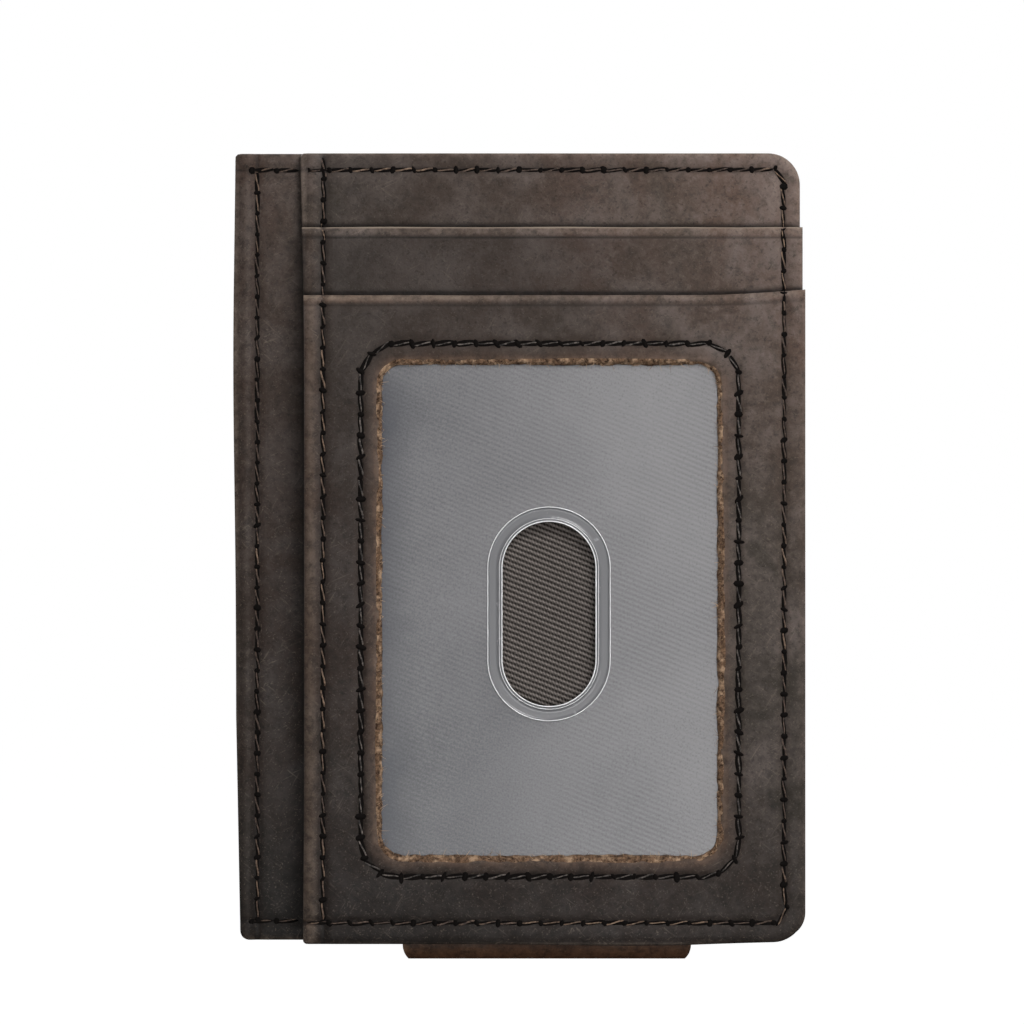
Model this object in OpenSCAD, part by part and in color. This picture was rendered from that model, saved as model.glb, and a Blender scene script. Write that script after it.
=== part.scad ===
// Slim front-pocket wallet in waxed leather, with a card slot, an ID window, a
// side-entry centre pocket and a magnetic money clip on the back.
// It stands upright: X runs across it, -Y is the front, +Z is up. The origin is
// under the centre of the whole wallet, level with the bottom of the clip's fold.

/* [Body] */
// Width of the wallet, over the window frame
body_w = 75; // [70:0.5:90]
// Height of the wallet, without the clip's fold
body_h = 104.1; // [100:0.1:115]
// Width of the bare strip beside the front stack
strip_w = 9.1; // [6:0.1:12]
// Radius of the right-hand corners
corner_r = 4.2; // [2:0.1:8]
// Outline step from one front panel to the next
outline_step = 0.3; // [0.1:0.05:0.6]
// Drop from the top edge to the mouth of the card slot
slot_drop = 9.8; // [8:0.1:14]
// Drop from the top edge to the mouth of the ID pocket
id_drop = 18.8; // [16:0.1:24]

/* [Window] */
// Width of the window opening
window_w = 44.4; // [40:0.1:46]
// Height of the window opening
window_h = 64.8; // [50:0.1:68]
// Radius of the window opening's corners
window_r = 3; // [1:0.1:6]
// Height of the window's lower edge above the wallet's bottom edge
window_z = 11.5; // [9:0.1:14]
// Width of the thumb slot
thumb_w = 12.2; // [10:0.1:18]
// Height of the thumb slot
thumb_h = 24.2; // [18:0.1:30]
// Width of the welded rim round the thumb slot
thumb_rim = 2.05; // [1:0.05:3]

/* [Plies] */
// Thickness of the outer leather plies
leather_t = 1; // [0.8:0.05:1.4]
// Thickness of the inner leather plies
inner_t = 0.9; // [0.7:0.05:1.2]
// Thickness of the woven twill lining
lining_t = 0.25; // [0.2:0.05:0.4]
// Thickness of the window film
film_t = 0.35; // [0.2:0.05:0.5]
// Clear depth of each card pocket, for a 0.76 mm card
card_gap = 0.9; // [0.85:0.05:1.5]
// Width of the sewn margin round each pocket
margin = 4; // [3.5:0.1:4.5]

/* [Money clip] */
// Width of the strap
clip_w = 38.2; // [30:0.1:44]
// Height of the base leg, from the bottom edge
base_leg_h = 73; // [60:1:80]
// Height of the flap leg, from the bottom edge
flap_leg_h = 68; // [55:1:75]
// Radius of the corners at the legs' ends
clip_r = 8; // [3:0.5:12]
// Clear gap between the closed legs
clip_gap = 1; // [0.6:0.1:2]
// Thickness of the strap's lining
clip_lining_t = 0.7; // [0.6:0.05:1]
// Diameter of the magnets
magnet_d = 12; // [8:0.5:14]

/* [Seams] */
// Distance between stitches
pitch = 2.93; // [2.5:0.01:4]
// Distance of a seam from the edge beside it
seam_inset = 2.5; // [2:0.1:3]
// Slant of the stitches, in degrees
slant = 8; // [0:1:15]

/* [Hidden] */
$fn = 64;
eps = 0.01;            // overlap that keeps a cut from ending level with a face
stitch_l = 2.1;
stitch_w = 0.55;
stitch_t = 0.25;       // depth of a stitch, and of the channel that it is pulled into
channel_w = 1.1;
row_shift = 0.3;       // the outer rows lie this much further in at the sides and foot, and higher at the top
row_edge = 0.8;        // least distance from a row's end to the wallet's cut edge
row_break = 0.4;       // distance from a row's end to the edge of the next panel
row_stop = 1;          // distance from a row's end to the row that it meets
lining_back = 0.6;     // how far a lining stays back from the leather's edge
square_r = 0.6;        // the almost square left-hand corners
rim_t = 0.25;          // thickness of the thumb slot's welded rim
film_lap = 3.7;        // how far the film reaches past the window opening
window_inset = 10.1;   // from the stack's free edge to the window opening
window_seam_gap = 2.5; // from the window opening to the row of stitching round it
window_seam_r = 4.9;
thumb_shift = [-0.1, -0.5]; // centre of the thumb slot from the window's centre
slot_strip_h = 14.5;   // height of the slot panel's leather strip
slot_seam_rise = 1.5;  // the row along that strip's lower edge lies this far above it
clip_shift = -0.35;    // the strap's middle from the window's centre
magnet_t = 0.9;
magnet_fit = 0.1;      // radial play of a magnet in its seat
magnet_drop = 10;      // magnet centre below the flap's end
magnet_x = 9.5;        // magnet centre from the strap's middle
fold_root_end = 95;    // the fixed part of the fold ends just past its lowest point
fold_flap_start = 150; // the flap's part of the fold starts here; 180 is the flap's face

// Depths, from the front face of the window frame to the back of the flap
clip_t = inner_t + clip_lining_t;
depth = leather_t + card_gap + inner_t + lining_t + card_gap + inner_t + lining_t
      + card_gap + inner_t + leather_t + 2 * clip_t + clip_gap;
y_frame = -depth / 2;
y_frame_back = y_frame + leather_t;
y_slot = y_frame_back + card_gap;
y_id_lining = y_slot + inner_t;
y_slot_gap = y_id_lining + lining_t;
y_base = y_slot_gap + card_gap;
y_stack_lining = y_base + inner_t;
y_centre_gap = y_stack_lining + lining_t;
y_pocket = y_centre_gap + card_gap;
y_back = y_pocket + inner_t;
y_base_leg = y_back + leather_t;
y_base_clip_lining = y_base_leg + inner_t;
y_clip_gap = y_base_clip_lining + clip_lining_t;
y_flap_clip_lining = y_clip_gap + clip_gap;
y_flap = y_flap_clip_lining + clip_lining_t;
y_end = y_flap + inner_t;

// Fold of the strap: its centre is level with the wallet's bottom edge
fold_y = (y_base_leg + y_end) / 2;
fold_r = (y_end - y_base_leg) / 2;
fold_z = fold_r;
z_bottom = fold_z;
z_top = z_bottom + body_h;

// Outline
x_left = -body_w / 2;
x_right = body_w / 2;
x_stack = x_left + strip_w;
x_base = x_right - 2 * outline_step;
x_slot = x_right - outline_step;
x_seam_right = x_right - seam_inset - row_shift;
x_seam_stack = x_stack + seam_inset;
x_seam_strip = x_left + seam_inset + row_shift;
z_seam_top = z_top - seam_inset + row_shift;
z_seam_bottom = z_bottom + seam_inset + row_shift;
seam_r = corner_r - seam_inset + row_shift;
z_slot_mouth = z_top - slot_drop;
z_id_mouth = z_top - id_drop;
z_strip_end = z_slot_mouth - slot_strip_h;
z_slot_seam = z_strip_end + slot_seam_rise;
z_back_bottom = z_bottom + outline_step;

// Window
window_x = x_stack + window_inset + window_w / 2;
window_cz = z_bottom + window_z + window_h / 2;
thumb_x = window_x + thumb_shift[0];
thumb_z = window_cz + thumb_shift[1];

// Money clip
clip_x = window_x + clip_shift;
magnet_z = z_bottom + flap_leg_h - magnet_drop;

// A sheet standing in the XZ plane, from depth y0 back to depth y1
module sheet(y0, y1) {
    translate([0, y1, 0]) rotate([90, 0, 0]) linear_extrude(y1 - y0) children();
}

// A rectangle with a radius of its own at each corner: lower left, lower right,
// upper right and upper left
module outline(x0, z0, x1, z1, r) {
    difference() {
        translate([x0, z0]) square([x1 - x0, z1 - z0]);
        if (r[0] > 0) corner_waste(x0, z0, 1, 1, r[0]);
        if (r[1] > 0) corner_waste(x1, z0, -1, 1, r[1]);
        if (r[2] > 0) corner_waste(x1, z1, -1, -1, r[2]);
        if (r[3] > 0) corner_waste(x0, z1, 1, -1, r[3]);
    }
}

// What a rounded corner takes off; sx and sz point into the rectangle
module corner_waste(x, z, sx, sz, r) {
    translate([x, z]) scale([sx, sz]) difference() {
        translate([-1, -1]) square([r + 1, r + 1]);
        translate([r, r]) circle(r);
    }
}

// A slot with round ends, standing upright
module stadium(x, z, w, h) {
    for (s = [-1, 1]) translate([x, z + s * (h - w) / 2]) circle(d = w);
    translate([x - w / 2, z - (h - w) / 2]) square([w, h - w]);
}

// The stitching channel of a closed row: a band along a rounded rectangle
module channel(x0, z0, x1, z1, r) {
    h = channel_w / 2;
    difference() {
        outline(x0 - h, z0 - h, x1 + h, z1 + h, [for (v = r) v > 0 ? v + h : 0]);
        outline(x0 + h, z0 + h, x1 - h, z1 - h, [for (v = r) max(v - h, 0)]);
    }
}

// Channels of the perimeter seam, which runs off the left-hand edge, and of a
// seam that runs from the top edge to the bottom one
module perimeter_channel() {
    channel(x_left - body_w, z_seam_bottom, x_seam_right, z_seam_top, [0, seam_r, seam_r, 0]);
}

module upright_channel(x) {
    translate([x - channel_w / 2, 0]) square([channel_w, 2 * body_h]);
}

// One stitch, pulled flush into a face: out is -1 on a front face, 1 on a back one
module stitch(x, z, angle, y, out) {
    translate([x, y - out * stitch_t / 2, z]) rotate([0, -angle - slant, 0])
        cube([stitch_l, stitch_t, stitch_w], center = true);
}

// A straight row of stitches between two points of the XZ plane
module row(p, q, y, out) {
    d = q - p;
    n = max(1, floor(norm(d) / pitch));
    angle = atan2(d[1], d[0]);
    for (i = [0 : n - 1]) {
        at = p + d * (i + 0.5) / n;
        stitch(at[0], at[1], angle, y, out);
    }
}

// Stitches round a corner, as evenly as fits
module bend(x, z, r, a0, a1, y, out) {
    n = max(1, round(r * abs(a1 - a0) * PI / 180 / pitch));
    for (i = [0 : n - 1]) {
        a = a0 + (a1 - a0) * (i + 0.5) / n;
        stitch(x + r * cos(a), z + r * sin(a), a + 90, y, out);
    }
}

// A closed row round a rectangle with round corners
module loop(x0, z0, x1, z1, r, y, out) {
    row([x0 + r, z0], [x1 - r, z0], y, out);
    row([x1, z0 + r], [x1, z1 - r], y, out);
    row([x1 - r, z1], [x0 + r, z1], y, out);
    row([x0, z1 - r], [x0, z0 + r], y, out);
    bend(x1 - r, z0 + r, r, -90, 0, y, out);
    bend(x1 - r, z1 - r, r, 0, 90, y, out);
    bend(x0 + r, z1 - r, r, 90, 180, y, out);
    bend(x0 + r, z0 + r, r, 180, 270, y, out);
}

// Outer leather of the back half, with the strip's square corners at the left
module back_panel() {
    color("#4a3d36") difference() {
        sheet(y_back, y_base_leg)
            outline(x_left, z_back_bottom, x_base, z_top, [square_r, corner_r, corner_r, square_r]);
        sheet(y_base_leg - stitch_t, y_base_leg + eps) {
            perimeter_channel();
            upright_channel(x_seam_strip);
        }
    }
}

// Inner ply of the back half: its left part is the bare strip
module pocket_panel() {
    color("#5a4a42") difference() {
        sheet(y_pocket, y_back)
            outline(x_left, z_back_bottom, x_base, z_top, [square_r, corner_r, corner_r, square_r]);
        sheet(y_pocket - eps, y_pocket + stitch_t) {
            intersection() {
                perimeter_channel();
                translate([x_left - 1, 0]) square([strip_w + 1, 2 * body_h]);
            }
            upright_channel(x_seam_strip);
        }
    }
}

// Twill on the back of the front stack, between the base panel's sewn margins
module stack_lining() {
    color("#4b4640") sheet(y_stack_lining, y_centre_gap)
        translate([x_stack + lining_back, z_back_bottom + margin])
            square([x_base - margin - x_stack - lining_back, z_top - z_back_bottom - 2 * margin]);
}

// Full-height leather that carries the front stack. Its margins are turned, and
// thick enough to close the card slot in front and the centre pocket behind
module base_panel() {
    r = [square_r, corner_r, corner_r, square_r];
    color("#6a5b53") {
        difference() {
            sheet(y_base, y_stack_lining)
                outline(x_stack, z_back_bottom, x_base, z_top, r);
            sheet(y_base - eps, y_base + stitch_t) intersection() {
                union() {
                    perimeter_channel();
                    upright_channel(x_seam_stack);
                }
                translate([x_left, z_slot_mouth]) square([body_w, slot_drop + 1]);
            }
        }
        sheet(y_slot_gap, y_base) intersection() {
            difference() {
                outline(x_stack, z_back_bottom, x_base, z_top, r);
                translate([x_stack + margin, z_back_bottom + margin])
                    square([x_base - x_stack - 2 * margin, body_h]);
            }
            translate([x_stack, 0]) square([body_w, z_slot_mouth]);
        }
        sheet(y_stack_lining, y_pocket) difference() {
            outline(x_stack, z_back_bottom, x_base, z_top, r);
            translate([x_stack - 1, z_back_bottom + margin])
                square([x_base - margin - x_stack + 1, z_top - z_back_bottom - 2 * margin]);
        }
    }
}

// Twill back wall of the ID pocket, which shows through the thumb slot
module id_lining() {
    color("#544e4a") sheet(y_id_lining, y_slot_gap)
        outline(x_stack + lining_back, z_back_bottom + lining_back,
                x_slot - lining_back, z_slot_mouth - lining_back,
                [0, corner_r, 0, 0]);
}

// Draws its child round the window opening, a gap outside its edge
module round_window(gap) {
    $x0 = window_x - window_w / 2 - gap;
    $x1 = window_x + window_w / 2 + gap;
    $z0 = window_cz - window_h / 2 - gap;
    $z1 = window_cz + window_h / 2 + gap;
    r = gap == window_seam_gap ? window_seam_r : window_r + gap * 2 / 3;
    $r4 = [r, r, r, r];
    children();
}

// Leather strip whose upper edge is the mouth of the card slot
module slot_panel() {
    color("#65564e") difference() {
        sheet(y_slot, y_id_lining)
            translate([x_stack, z_strip_end]) square([x_slot - x_stack, slot_strip_h]);
        sheet(y_slot - eps, y_slot + stitch_t) {
            perimeter_channel();
            upright_channel(x_seam_stack);
            translate([x_stack + margin, z_slot_seam - channel_w / 2])
                square([x_base - x_stack - 2 * margin, channel_w]);
        }
    }
}

// Front leather with the window; its turned margins close the ID pocket
module window_frame() {
    r = [square_r, corner_r, 0, 0];
    color("#4d4039") {
        difference() {
            sheet(y_frame, y_frame_back) difference() {
                outline(x_stack, z_bottom, x_right, z_id_mouth, r);
                round_window(0) outline($x0, $z0, $x1, $z1, $r4);
            }
            sheet(y_frame - eps, y_frame + stitch_t) {
                perimeter_channel();
                upright_channel(x_seam_stack);
                round_window(window_seam_gap) channel($x0, $z0, $x1, $z1, $r4);
            }
        }
        sheet(y_frame_back, y_slot) difference() {
            outline(x_stack, z_bottom, x_right, z_id_mouth, r);
            translate([x_stack + margin, z_bottom + margin])
                square([x_right - x_stack - 2 * margin, body_h]);
        }
        sheet(y_slot, y_id_lining) intersection() {
            difference() {
                outline(x_stack, z_bottom, x_right, z_id_mouth, r);
                translate([x_stack + margin, z_bottom + margin])
                    square([x_right - x_stack - 2 * margin, body_h]);
            }
            translate([x_stack, 0]) square([body_w, z_strip_end]);
        }
    }
}

// Frosted film behind the frame, with the thumb slot
module window_film() {
    color("#8c8c90") sheet(y_frame_back, y_frame_back + film_t) difference() {
        round_window(film_lap) outline($x0, $z0, $x1, $z1, $r4);
        stadium(thumb_x, thumb_z, thumb_w, thumb_h);
    }
}

// Welded ring that stiffens the thumb slot's edge, on the film's face
module thumb_slot_rim() {
    color("#c8c8cc") sheet(y_frame_back - rim_t, y_frame_back) difference() {
        stadium(thumb_x, thumb_z, thumb_w + 2 * thumb_rim, thumb_h + 2 * thumb_rim);
        stadium(thumb_x, thumb_z, thumb_w, thumb_h);
    }
}

// One leg of the clip, standing on the bottom edge with a rounded upper end
module leg(y0, y1, h) {
    sheet(y0, y1)
        outline(clip_x - clip_w / 2, z_bottom - eps, clip_x + clip_w / 2, z_bottom + h,
                [0, 0, clip_r, clip_r]);
}

// Stitching channel of one leg: up both sides and round the end
module clip_channel(h) {
    r = clip_r - seam_inset;
    intersection() {
        channel(clip_x - clip_w / 2 + seam_inset, -body_h,
                clip_x + clip_w / 2 - seam_inset, z_bottom + h - seam_inset, [0, 0, r, r]);
        translate([x_left, z_bottom + row_stop]) square([body_w, body_h]);
    }
}

// Part of the fold, between two radii and two angles: 0 faces the wallet, 90 is
// the lowest point and 180 faces away
module fold(r0, r1, a0, a1) {
    reach = 2 * r1;
    sector = [[0, 0], for (a = [a0 : (a1 - a0) / 4 : a1]) [-reach * cos(a), -reach * sin(a)]];
    translate([clip_x - clip_w / 2, fold_y, fold_z]) rotate([90, 0, 90]) linear_extrude(clip_w)
        intersection() {
            difference() {
                circle(r1);
                circle(r0);
            }
            polygon(sector);
        }
}

// The two magnets, or with play their seats
module discs(y0, y1, play) {
    for (s = [-1, 1]) translate([clip_x + s * magnet_x, y1, magnet_z])
        rotate([90, 0, 0]) cylinder(d = magnet_d + 2 * play, h = y1 - y0);
}

// Fixed leg of the strap's outer leather, with the fixed part of the fold
module clip_strap_base() {
    color("#4a372e") difference() {
        union() {
            leg(y_base_leg, y_base_clip_lining, base_leg_h);
            fold(fold_r - inner_t, fold_r, 0, fold_root_end);
        }
        discs(y_base_clip_lining - magnet_t / 2, y_base_clip_lining + eps, magnet_fit);
    }
}

// Fixed leg of the strap's inner leather, which the notes touch
module clip_lining_base() {
    color("#54433a") difference() {
        union() {
            leg(y_base_clip_lining, y_clip_gap, base_leg_h);
            fold(clip_gap / 2, fold_r - inner_t, 0, fold_root_end);
        }
        discs(y_base_clip_lining - eps, y_base_clip_lining + magnet_t / 2, magnet_fit);
        sheet(y_clip_gap - stitch_t, y_clip_gap + eps) clip_channel(base_leg_h);
    }
}

// Magnets between the plies of the fixed leg
module clip_base_magnets() {
    color("#b8b8bc")
        discs(y_base_clip_lining - magnet_t / 2, y_base_clip_lining + magnet_t / 2, 0);
}

// Swinging leg of the outer leather, with its part of the fold
module clip_strap_flap() {
    color("#4a372e") difference() {
        union() {
            leg(y_flap, y_end, flap_leg_h);
            fold(fold_r - inner_t, fold_r, fold_flap_start, 180);
        }
        discs(y_flap - eps, y_flap + magnet_t / 2, magnet_fit);
        sheet(y_end - stitch_t, y_end + eps) clip_channel(flap_leg_h);
    }
}

// Swinging leg of the inner leather
module clip_lining_flap() {
    color("#54433a") difference() {
        union() {
            leg(y_flap_clip_lining, y_flap, flap_leg_h);
            fold(clip_gap / 2, fold_r - inner_t, fold_flap_start, 180);
        }
        discs(y_flap - magnet_t / 2, y_flap + eps, magnet_fit);
    }
}

// Magnets between the plies of the swinging leg
module clip_flap_magnets() {
    color("#b8b8bc") discs(y_flap - magnet_t / 2, y_flap + magnet_t / 2, 0);
}

// Final seam along the top, right and bottom, seen on each panel's own level
module perimeter_seam() {
    r = seam_r;
    x_turn = x_seam_right - r;
    x_strip_end = x_stack - row_break;
    x_edge = x_left + row_edge;
    clip_end_l = clip_x - clip_w / 2 - row_stop;
    clip_end_r = clip_x + clip_w / 2 + row_stop;
    z_slot_lower = z_slot_mouth - row_break;
    z_id_upper = z_id_mouth + row_break;
    z_id_lower = z_id_mouth - row_break;
    color("#3a2c24") {
        row([x_edge, z_seam_top], [x_strip_end, z_seam_top], y_pocket, -1);
        row([x_stack + row_break, z_seam_top], [x_turn, z_seam_top], y_base, -1);
        bend(x_turn, z_seam_top - r, r, 0, 90, y_base, -1);
        row([x_seam_right, z_slot_mouth + row_edge], [x_seam_right, z_seam_top - r], y_base, -1);
        row([x_seam_right, z_id_upper], [x_seam_right, z_slot_lower], y_slot, -1);
        row([x_seam_right, z_seam_bottom + r], [x_seam_right, z_id_lower], y_frame, -1);
        bend(x_turn, z_seam_bottom + r, r, -90, 0, y_frame, -1);
        row([x_stack + row_break, z_seam_bottom], [x_turn, z_seam_bottom], y_frame, -1);
        row([x_edge, z_seam_bottom], [x_strip_end, z_seam_bottom], y_pocket, -1);
        row([x_edge, z_seam_top], [x_turn, z_seam_top], y_base_leg, 1);
        row([x_seam_right, z_seam_bottom + r], [x_seam_right, z_seam_top - r], y_base_leg, 1);
        row([x_edge, z_seam_bottom], [clip_end_l, z_seam_bottom], y_base_leg, 1);
        row([clip_end_r, z_seam_bottom], [x_turn, z_seam_bottom], y_base_leg, 1);
    }
}

// Seam down the bare strip's outer edge, on the front and the back
module strip_seam() {
    z0 = z_seam_bottom + row_stop;
    z1 = z_seam_top - row_stop;
    color("#4a382c") {
        row([x_seam_strip, z0], [x_seam_strip, z1], y_pocket, -1);
        row([x_seam_strip, z0], [x_seam_strip, z1], y_base_leg, 1);
    }
}

// Seam down the stack's free edge, on each panel's own level
module stack_seam() {
    x = x_seam_stack;
    color("#4a382c") {
        row([x, z_seam_bottom + row_stop], [x, z_id_mouth - row_break], y_frame, -1);
        row([x, z_id_mouth + row_break], [x, z_slot_mouth - row_break], y_slot, -1);
        row([x, z_slot_mouth + row_break], [x, z_seam_top - row_stop], y_base, -1);
    }
}

// Seam round the window, which holds the film to the frame
module window_seam() {
    color("#3a2c24")
        round_window(window_seam_gap) loop($x0, $z0, $x1, $z1, window_seam_r, y_frame, -1);
}

// Seam along the slot panel's hidden lower edge
module slot_strip_seam() {
    color("#3a2c24")
        row([x_stack + margin + row_stop, z_slot_seam], [x_base - margin - row_stop, z_slot_seam],
            y_slot, -1);
}

// A seam up both sides and round the end of one leg of the clip
module clip_seam(h, y) {
    x0 = clip_x - clip_w / 2 + seam_inset;
    x1 = clip_x + clip_w / 2 - seam_inset;
    z1 = z_bottom + h - seam_inset;
    r = clip_r - seam_inset;
    row([x0, z_seam_bottom], [x0, z1 - r], y, 1);
    row([x1, z_seam_bottom], [x1, z1 - r], y, 1);
    row([x0 + r, z1], [x1 - r, z1], y, 1);
    bend(x0 + r, z1 - r, r, 90, 180, y, 1);
    bend(x1 - r, z1 - r, r, 0, 90, y, 1);
}

// Seam that holds the fixed leg to the back panel
module clip_base_seam() {
    color("#3a2c24") clip_seam(base_leg_h, y_clip_gap);
}

// Seam that joins the two plies of the swinging leg
module clip_flap_seam() {
    color("#3a2c24") clip_seam(flap_leg_h, y_end);
}

back_panel();
pocket_panel();
stack_lining();
base_panel();
id_lining();
slot_panel();
window_frame();
window_film();
thumb_slot_rim();
clip_strap_base();
clip_lining_base();
clip_base_magnets();
clip_strap_flap();
clip_lining_flap();
clip_flap_magnets();
perimeter_seam();
strip_seam();
stack_seam();
window_seam();
slot_strip_seam();
clip_base_seam();
clip_flap_seam();
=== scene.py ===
"""Slim front-pocket wallet in waxed dark leather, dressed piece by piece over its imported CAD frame."""

import math
import random

import bmesh
import bpy
from mathutils import Matrix, Vector, noise


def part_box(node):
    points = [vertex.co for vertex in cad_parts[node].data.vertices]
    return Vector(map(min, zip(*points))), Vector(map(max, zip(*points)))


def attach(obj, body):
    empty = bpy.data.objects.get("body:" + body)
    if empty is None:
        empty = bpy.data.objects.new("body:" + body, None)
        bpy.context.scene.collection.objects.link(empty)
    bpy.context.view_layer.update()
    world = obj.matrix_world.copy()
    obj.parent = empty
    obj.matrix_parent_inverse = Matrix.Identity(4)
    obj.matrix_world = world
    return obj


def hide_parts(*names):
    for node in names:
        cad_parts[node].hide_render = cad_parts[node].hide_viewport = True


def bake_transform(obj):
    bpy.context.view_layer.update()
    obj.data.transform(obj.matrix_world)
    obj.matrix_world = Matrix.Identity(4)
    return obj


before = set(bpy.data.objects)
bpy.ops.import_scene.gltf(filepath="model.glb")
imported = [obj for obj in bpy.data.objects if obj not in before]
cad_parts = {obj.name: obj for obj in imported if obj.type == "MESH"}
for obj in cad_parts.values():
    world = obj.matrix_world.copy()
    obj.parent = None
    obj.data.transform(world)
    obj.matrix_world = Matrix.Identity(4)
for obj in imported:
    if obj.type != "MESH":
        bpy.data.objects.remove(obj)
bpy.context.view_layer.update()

# ---- Back panel -------------------------------------------------------------------------
# The rear ply, one piece of waxed, pull-up leather about a millimetre thick. It is die cut
# with square corners on the pocket side and round ones on the other, and its cut edge is
# rubbed a little round. Everything else is sewn to it.
MM = 0.001


def marks(start, *runs):
    """Cutting marks from start on: each run is (where it ends, how far apart its marks are)."""
    found = [start]
    for end, apart in runs:
        last, count = found[-1], max(1, round((end - found[-1]) / apart))
        found += [last + (end - last) * k / count for k in range(1, count + 1)]
    return found


def squared_off(u, v, turn):
    """Draws a square corner in to a round one; turn is 1 on the round edge and fades off."""
    ring, reach = max(u, v), math.hypot(u, v)
    pull = 1 + turn * (ring / reach - 1)
    return u * pull, v * pull


def cut_round(x, z, lo, hi, radii):
    """Rounds a ply's outer corners: radii are lower left, lower right, upper right, upper left."""
    for (sx, sz), r in zip(((-1, -1), (1, -1), (1, 1), (-1, 1)), radii):
        cx, cz = (lo[0] + r, hi[0] - r)[sx > 0], (lo[1] + r, hi[1] - r)[sz > 0]
        u, v = (x - cx) * sx, (z - cz) * sz
        if r > 0 and u > 0 and v > 0:
            u, v = squared_off(u, v, 1)
            return cx + u * sx, cz + v * sz
    return x, z


def cut_window(x, z, lo, hi, r, spread):
    """Rounds the corners of an opening, and eases the hide round them over the spread."""
    for sx, sz in ((-1, -1), (1, -1), (1, 1), (-1, 1)):
        cx, cz = (lo[0] + r, hi[0] - r)[sx > 0], (lo[1] + r, hi[1] - r)[sz > 0]
        u, v = (x - cx) * sx, (z - cz) * sz
        if u > 0 and v > 0 and max(u, v) >= r * 0.999:
            away = min(1, (max(u, v) - r) / spread)
            u, v = squared_off(u, v, (1 - away) ** 2)
            return cx + u * sx, cz + v * sz
    return x, z


def ring_gap(x, z, lo, hi, r):
    """Distance from a round-cornered outline, less than nothing inside it."""
    qx = abs(x - (lo[0] + hi[0]) / 2) - (hi[0] - lo[0]) / 2 + r
    qz = abs(z - (lo[1] + hi[1]) / 2) - (hi[1] - lo[1]) / 2 + r
    return math.hypot(max(qx, 0), max(qz, 0)) + min(max(qx, qz), 0) - r


def near(distance, width):
    """1 on a line, fading to nothing over about the width on both sides of it."""
    return math.exp(-((distance / width) ** 2))


def share(value):
    """A value held between nothing and the whole."""
    return max(0, min(1, value))


def at_depth(y):
    """The face of a ply that lies flat at that depth."""
    return lambda x, z: y


def hide_waves(x, z, seed):
    """The slow rise and fall of a piece of hide that has been handled."""
    broad = noise.noise(Vector((x * 55, z * 55, seed)))
    fine = noise.noise(Vector((x * 240, z * 240, seed + 3)))
    return 0.11 * MM * broad + 0.035 * MM * fine


def closer(found, *rows):
    """Adds marks on and beside each row of stitching, so that the pulled-in line is sharp."""
    beside = (-0.5 * MM, -0.25 * MM, 0, 0.25 * MM, 0.5 * MM)
    kept = [m for m in found if all(abs(m - row) > 0.62 * MM for row in rows)]
    return sorted(kept + [row + b for row in rows for b in beside])


def rimmed(found):
    """Adds close marks just inside the first and last, where the cut edge turns over."""
    inner = [m for m in found if found[0] + 0.4 * MM < m < found[-1] - 0.4 * MM]
    rim = (0, 0.03 * MM, 0.09 * MM, 0.18 * MM, 0.32 * MM)
    return [found[0] + k for k in rim] + inner + [found[-1] - k for k in rim[::-1]]


def turned_over(depth, rub):
    """How far a rubbed edge has dropped at that depth in from the cut."""
    return rub - math.sqrt(max(0, rub * rub - (rub - depth) ** 2)) if depth < rub else 0


def vertex_layer(bm, name):
    """A value kept at each vertex of a piece, made when it is first asked for."""
    return bm.verts.layers.float.get(name) or bm.verts.layers.float.new(name)


def lay_ply(bm, across, up, front, rear, shape=None, kept=None, rub=0.24 * MM, wear_and_shade=None, bared=None):
    """Lays one ply: a flat grid cut to shape, given its two faces, with its cut edge rubbed round.

    front and rear give y at (x, z). shape moves a cutting mark to its place, kept says which
    parts of the hide stay, worn how pale the surface is rubbed, or below zero how dark it is
    with painted shade and with dark wax, and bared how far the brown below the wax shows.
    """
    if rub:
        across, up = rimmed(across), rimmed(up)
    nx, nz = len(across) - 1, len(up) - 1
    wear_and_shade_layer, bared_at, dropped = (vertex_layer(bm, name) for name in ("wear_and_shade", "bared", "dropped"))
    sheet = bmesh.ops.create_grid(bm, x_segments=nx, y_segments=nz, size=0.5)["verts"]
    for v in sheet:
        x, z = across[round((v.co.x + 0.5) * nx)], up[round((v.co.y + 0.5) * nz)]
        v.co = (x, 0, z)
        v[dropped] = turned_over(min(x - across[0], across[-1] - x, z - up[0], up[-1] - z), rub)
    cells = {f for v in sheet for f in v.link_faces}
    if kept:
        waste = [f for f in cells if not kept(*f.calc_center_median().xz)]
        bmesh.ops.delete(bm, geom=waste, context="FACES")
        sheet = [v for v in sheet if v.is_valid]
        cells = {f for f in cells if f.is_valid}
    for v in sheet:
        x, z = shape(v.co.x, v.co.z) if shape else (v.co.x, v.co.z)
        y, far = front(x, z), rear(x, z)
        v.co = (x, y + math.copysign(v[dropped], far - y), z)
        v[wear_and_shade_layer] = wear_and_shade(x, z) if wear_and_shade else 0
        v[bared_at] = bared(x, z) if bared else 0
    grown = bmesh.ops.extrude_face_region(bm, geom=list(cells), use_keep_orig=True)["geom"]
    for v in grown:
        if isinstance(v, bmesh.types.BMVert):
            y, far = front(v.co.x, v.co.z), rear(v.co.x, v.co.z)
            v.co.y = far - math.copysign(v[dropped], far - y)
    walls = {f for v in sheet for f in v.link_faces}
    walls |= {f for f in grown if isinstance(f, bmesh.types.BMFace)}
    bmesh.ops.recalc_face_normals(bm, faces=list(walls))


def made(name, bm, *finishes):
    """The finished piece from its bmesh, smooth shaded, with its finishes."""
    mesh = bpy.data.meshes.new(name)
    bm.to_mesh(mesh)
    bm.free()
    for finish in finishes:
        mesh.materials.append(finish)
    for face in mesh.polygons:
        face.use_smooth = True
    piece = bpy.data.objects.new(name, mesh)
    bpy.context.scene.collection.objects.link(piece)
    return piece


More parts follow.
